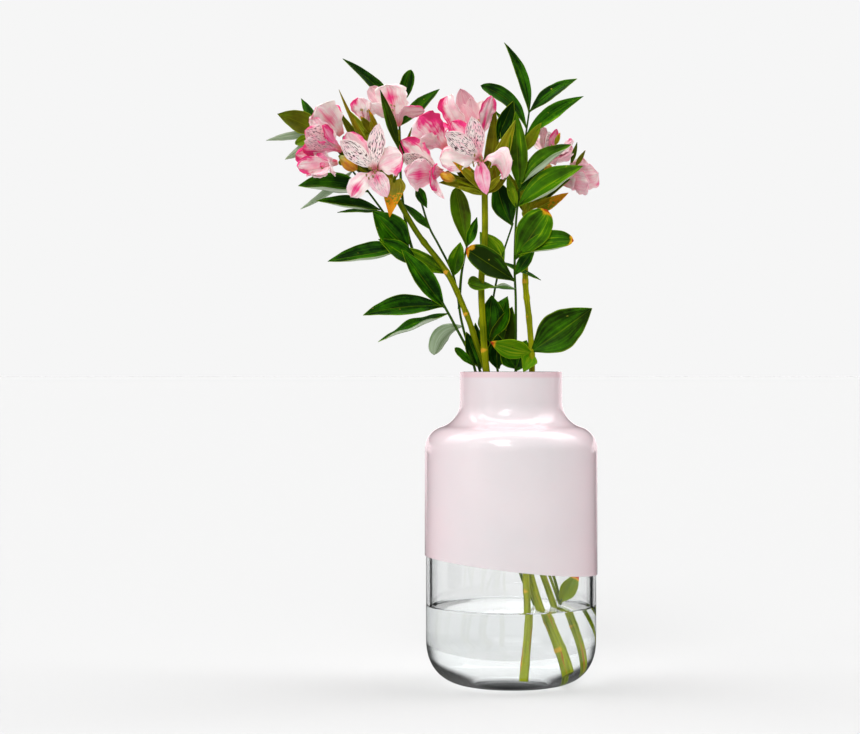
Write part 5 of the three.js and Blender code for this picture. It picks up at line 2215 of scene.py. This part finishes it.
@dataclass
class Studio:
    """The floor, the soft light and the camera at the photograph's viewing angle."""

    lens_pixels: float = 2100.0
    frame_pixels: float = 860.0
    sensor: float = 36.0
    eye: Point = (-70.4, -1826.0, 275.5)
    floor_radius: float = 60.0
    backdrop: str = "#F6F6F6"
    depth_band: Marks = (-0.3, 0.3, 0.45, 1.2)
    side_band: Marks = (0.6, 0.86, 1.0, 0.12)
    high_band: Marks = (0.11, 0.17, 1.0, 0.06)
    low_band: Marks = (-0.12, 0.0, 0.08, 1.0)
    soft_edge: float = 0.25
    sun_strength: float = 0.85
    sun_angle: float = 24.0
    sun_turn: tuple[float, float] = (44.0, -20.0)
    floor_gap: float = 0.6
    card_distance: float = 130.0
    card_height: float = 200.0
    card_front: float = 15.0
    card_back: float = 100.0

    def camera(self) -> None:
        """The level camera in front of the vase."""
        data = bpy.data.cameras.new("photo_camera")
        data.sensor_width = self.sensor
        data.lens = self.lens_pixels / self.frame_pixels * self.sensor
        data.clip_start = 0.05
        data.clip_end = 120
        eye = bpy.data.objects.new("photo_camera", data)
        bpy.context.scene.collection.objects.link(eye)
        eye.location = [x * MM for x in self.eye]
        eye.rotation_euler = (math.radians(90), 0, 0)
        bpy.context.scene.camera = eye

    def key(self) -> None:
        """The key light, a wide soft sun from the upper front left."""
        data = bpy.data.lights.new("soft_key", "SUN")
        data.energy = self.sun_strength
        data.angle = math.radians(self.sun_angle)
        lamp = bpy.data.objects.new("soft_key", data)
        bpy.context.scene.collection.objects.link(lamp)
        tilt, turn = self.sun_turn
        lamp.rotation_euler = (math.radians(tilt), 0, math.radians(turn))

    def patch(self, tree: Tree, ray: Socket, box: Softbox) -> Socket:
        """How strongly one softbox lights along a ray.

        Args:
            tree: The world's nodes.
            ray: The ray's direction.
            box: The softbox.

        Returns:
            The strength's socket.
        """
        direction, (wide, high), strength = box.value
        heading = unit(np.array(direction, float))
        across = unit(np.cross(heading, [0.0, 1.0, 0.0] if abs(heading[2]) > 0.9 else [0.0, 0.0, 1.0]))
        over = np.cross(across, heading)

        def dot(axis: Array) -> Socket:
            """The ray's share along an axis."""
            node = tree.add("VectorMath", {"operation": "DOT_PRODUCT"}, {0: ray, 1: tuple(axis)})
            return node.outputs["Value"]

        lit = tree.add("Math", {"operation": "GREATER_THAN"}, {0: dot(heading), 1: 0.0}).outputs[0]
        for axis, half in ((across, wide), (over, high)):
            off = tree.add("Math", {"operation": "ABSOLUTE"}, {0: dot(axis)}).outputs[0]
            lit = tree.total(off, lit, 0.0, (1 + self.soft_edge) * half, (1 - self.soft_edge) * half)
        return tree.total(lit, strength)

    def sky(self) -> None:
        """A plain pale backdrop, and round it soft light with dark flags at both sides."""
        world = bpy.data.worlds.new("studio")
        world.use_nodes = True
        bpy.context.scene.world = world
        tree = Tree(world.node_tree)
        ray = tree.add("TexCoord").outputs["Generated"]
        aside, away, up = tree.add("SeparateXYZ", None, {0: ray}).outputs
        aside = tree.add("Math", {"operation": "ABSOLUTE"}, {0: aside}).outputs[0]
        total = tree.eased(away, *self.depth_band)
        total = tree.total(aside, total, 0.0, *self.side_band)
        for band in (self.high_band, self.low_band):
            total = tree.total(up, total, 0.0, *band)
        for box in Softbox:
            total = tree.total(self.patch(tree, ray, box), 1.0, total)
        seen = tree.add("LightPath").outputs["Is Camera Ray"]
        background = tree.tree.nodes["Background"]
        strength = tree.add("Mix", None, {0: seen, 2: total, 3: 1.0}).outputs[0]
        tree.tree.links.new(tree.layer(seen, "#FFFFFF", self.backdrop), background.inputs["Color"])
        tree.tree.links.new(strength, background.inputs["Strength"])

    def floor(self) -> None:
        """The pale floor, a wide disc that the vase stands on."""
        bpy.ops.object.select_all(action="DESELECT")
        bpy.ops.mesh.primitive_circle_add(vertices=96, radius=self.floor_radius, fill_type="NGON")
        disc = bpy.context.object
        disc.name = "floor"
        disc.location.z = -self.floor_gap * MM
        disc.visible_glossy = False
        dressed(disc, PAPER.material())

    def cards(self) -> None:
        """Black cards at both sides, which only draw the dark lines in the glass."""
        cards = []
        for side in (-1, 1):
            bpy.ops.object.select_all(action="DESELECT")
            middle = (self.card_front + self.card_back) / 2
            place = (side * self.card_distance * MM, middle * MM, self.card_height / 2 * MM)
            bpy.ops.mesh.primitive_plane_add(size=1, location=place, rotation=(0, side * math.pi / 2, 0))
            card = bpy.context.object
            card.name = "card_left" if side < 0 else "card_right"
            card.scale = (self.card_height * MM, (self.card_back - self.card_front) * MM, 1)
            bpy.ops.object.transform_apply(location=True, rotation=True, scale=True)
            cards.append(card)
        black = CARD.material()
        for card in cards:
            for kind in ("camera", "diffuse", "shadow"):
                setattr(card, f"visible_{kind}", False)
            dressed(card, black)

    def build(self) -> None:
        """Sets up all of it."""
        bpy.context.scene.view_settings.view_transform = "Standard"
        self.camera()
        self.key()
        self.sky()
        self.floor()
        self.cards()


def note(pieces: Iterable[Piece]) -> None:
    """Makes pieces ride on the object's one body, and reports them.

    Args:
        pieces: The pieces.
    """
    for piece in pieces:
        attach(piece, "root")
        LOG.info("%s: %d faces", piece.name, len(piece.data.polygons))


def main() -> None:
    """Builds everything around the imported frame."""
    logging.basicConfig(level=logging.INFO, format="%(name)s %(message)s")
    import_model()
    Studio().build()
    note(Vase().build())
    skins = Skins.mixed()
    for stem in flower_stems():
        note(stem.build(skins))
    for sprig in sprigs():
        note(sprig.build(skins))
    SHEETS.clear()


if __name__ == "__main__":
    main()
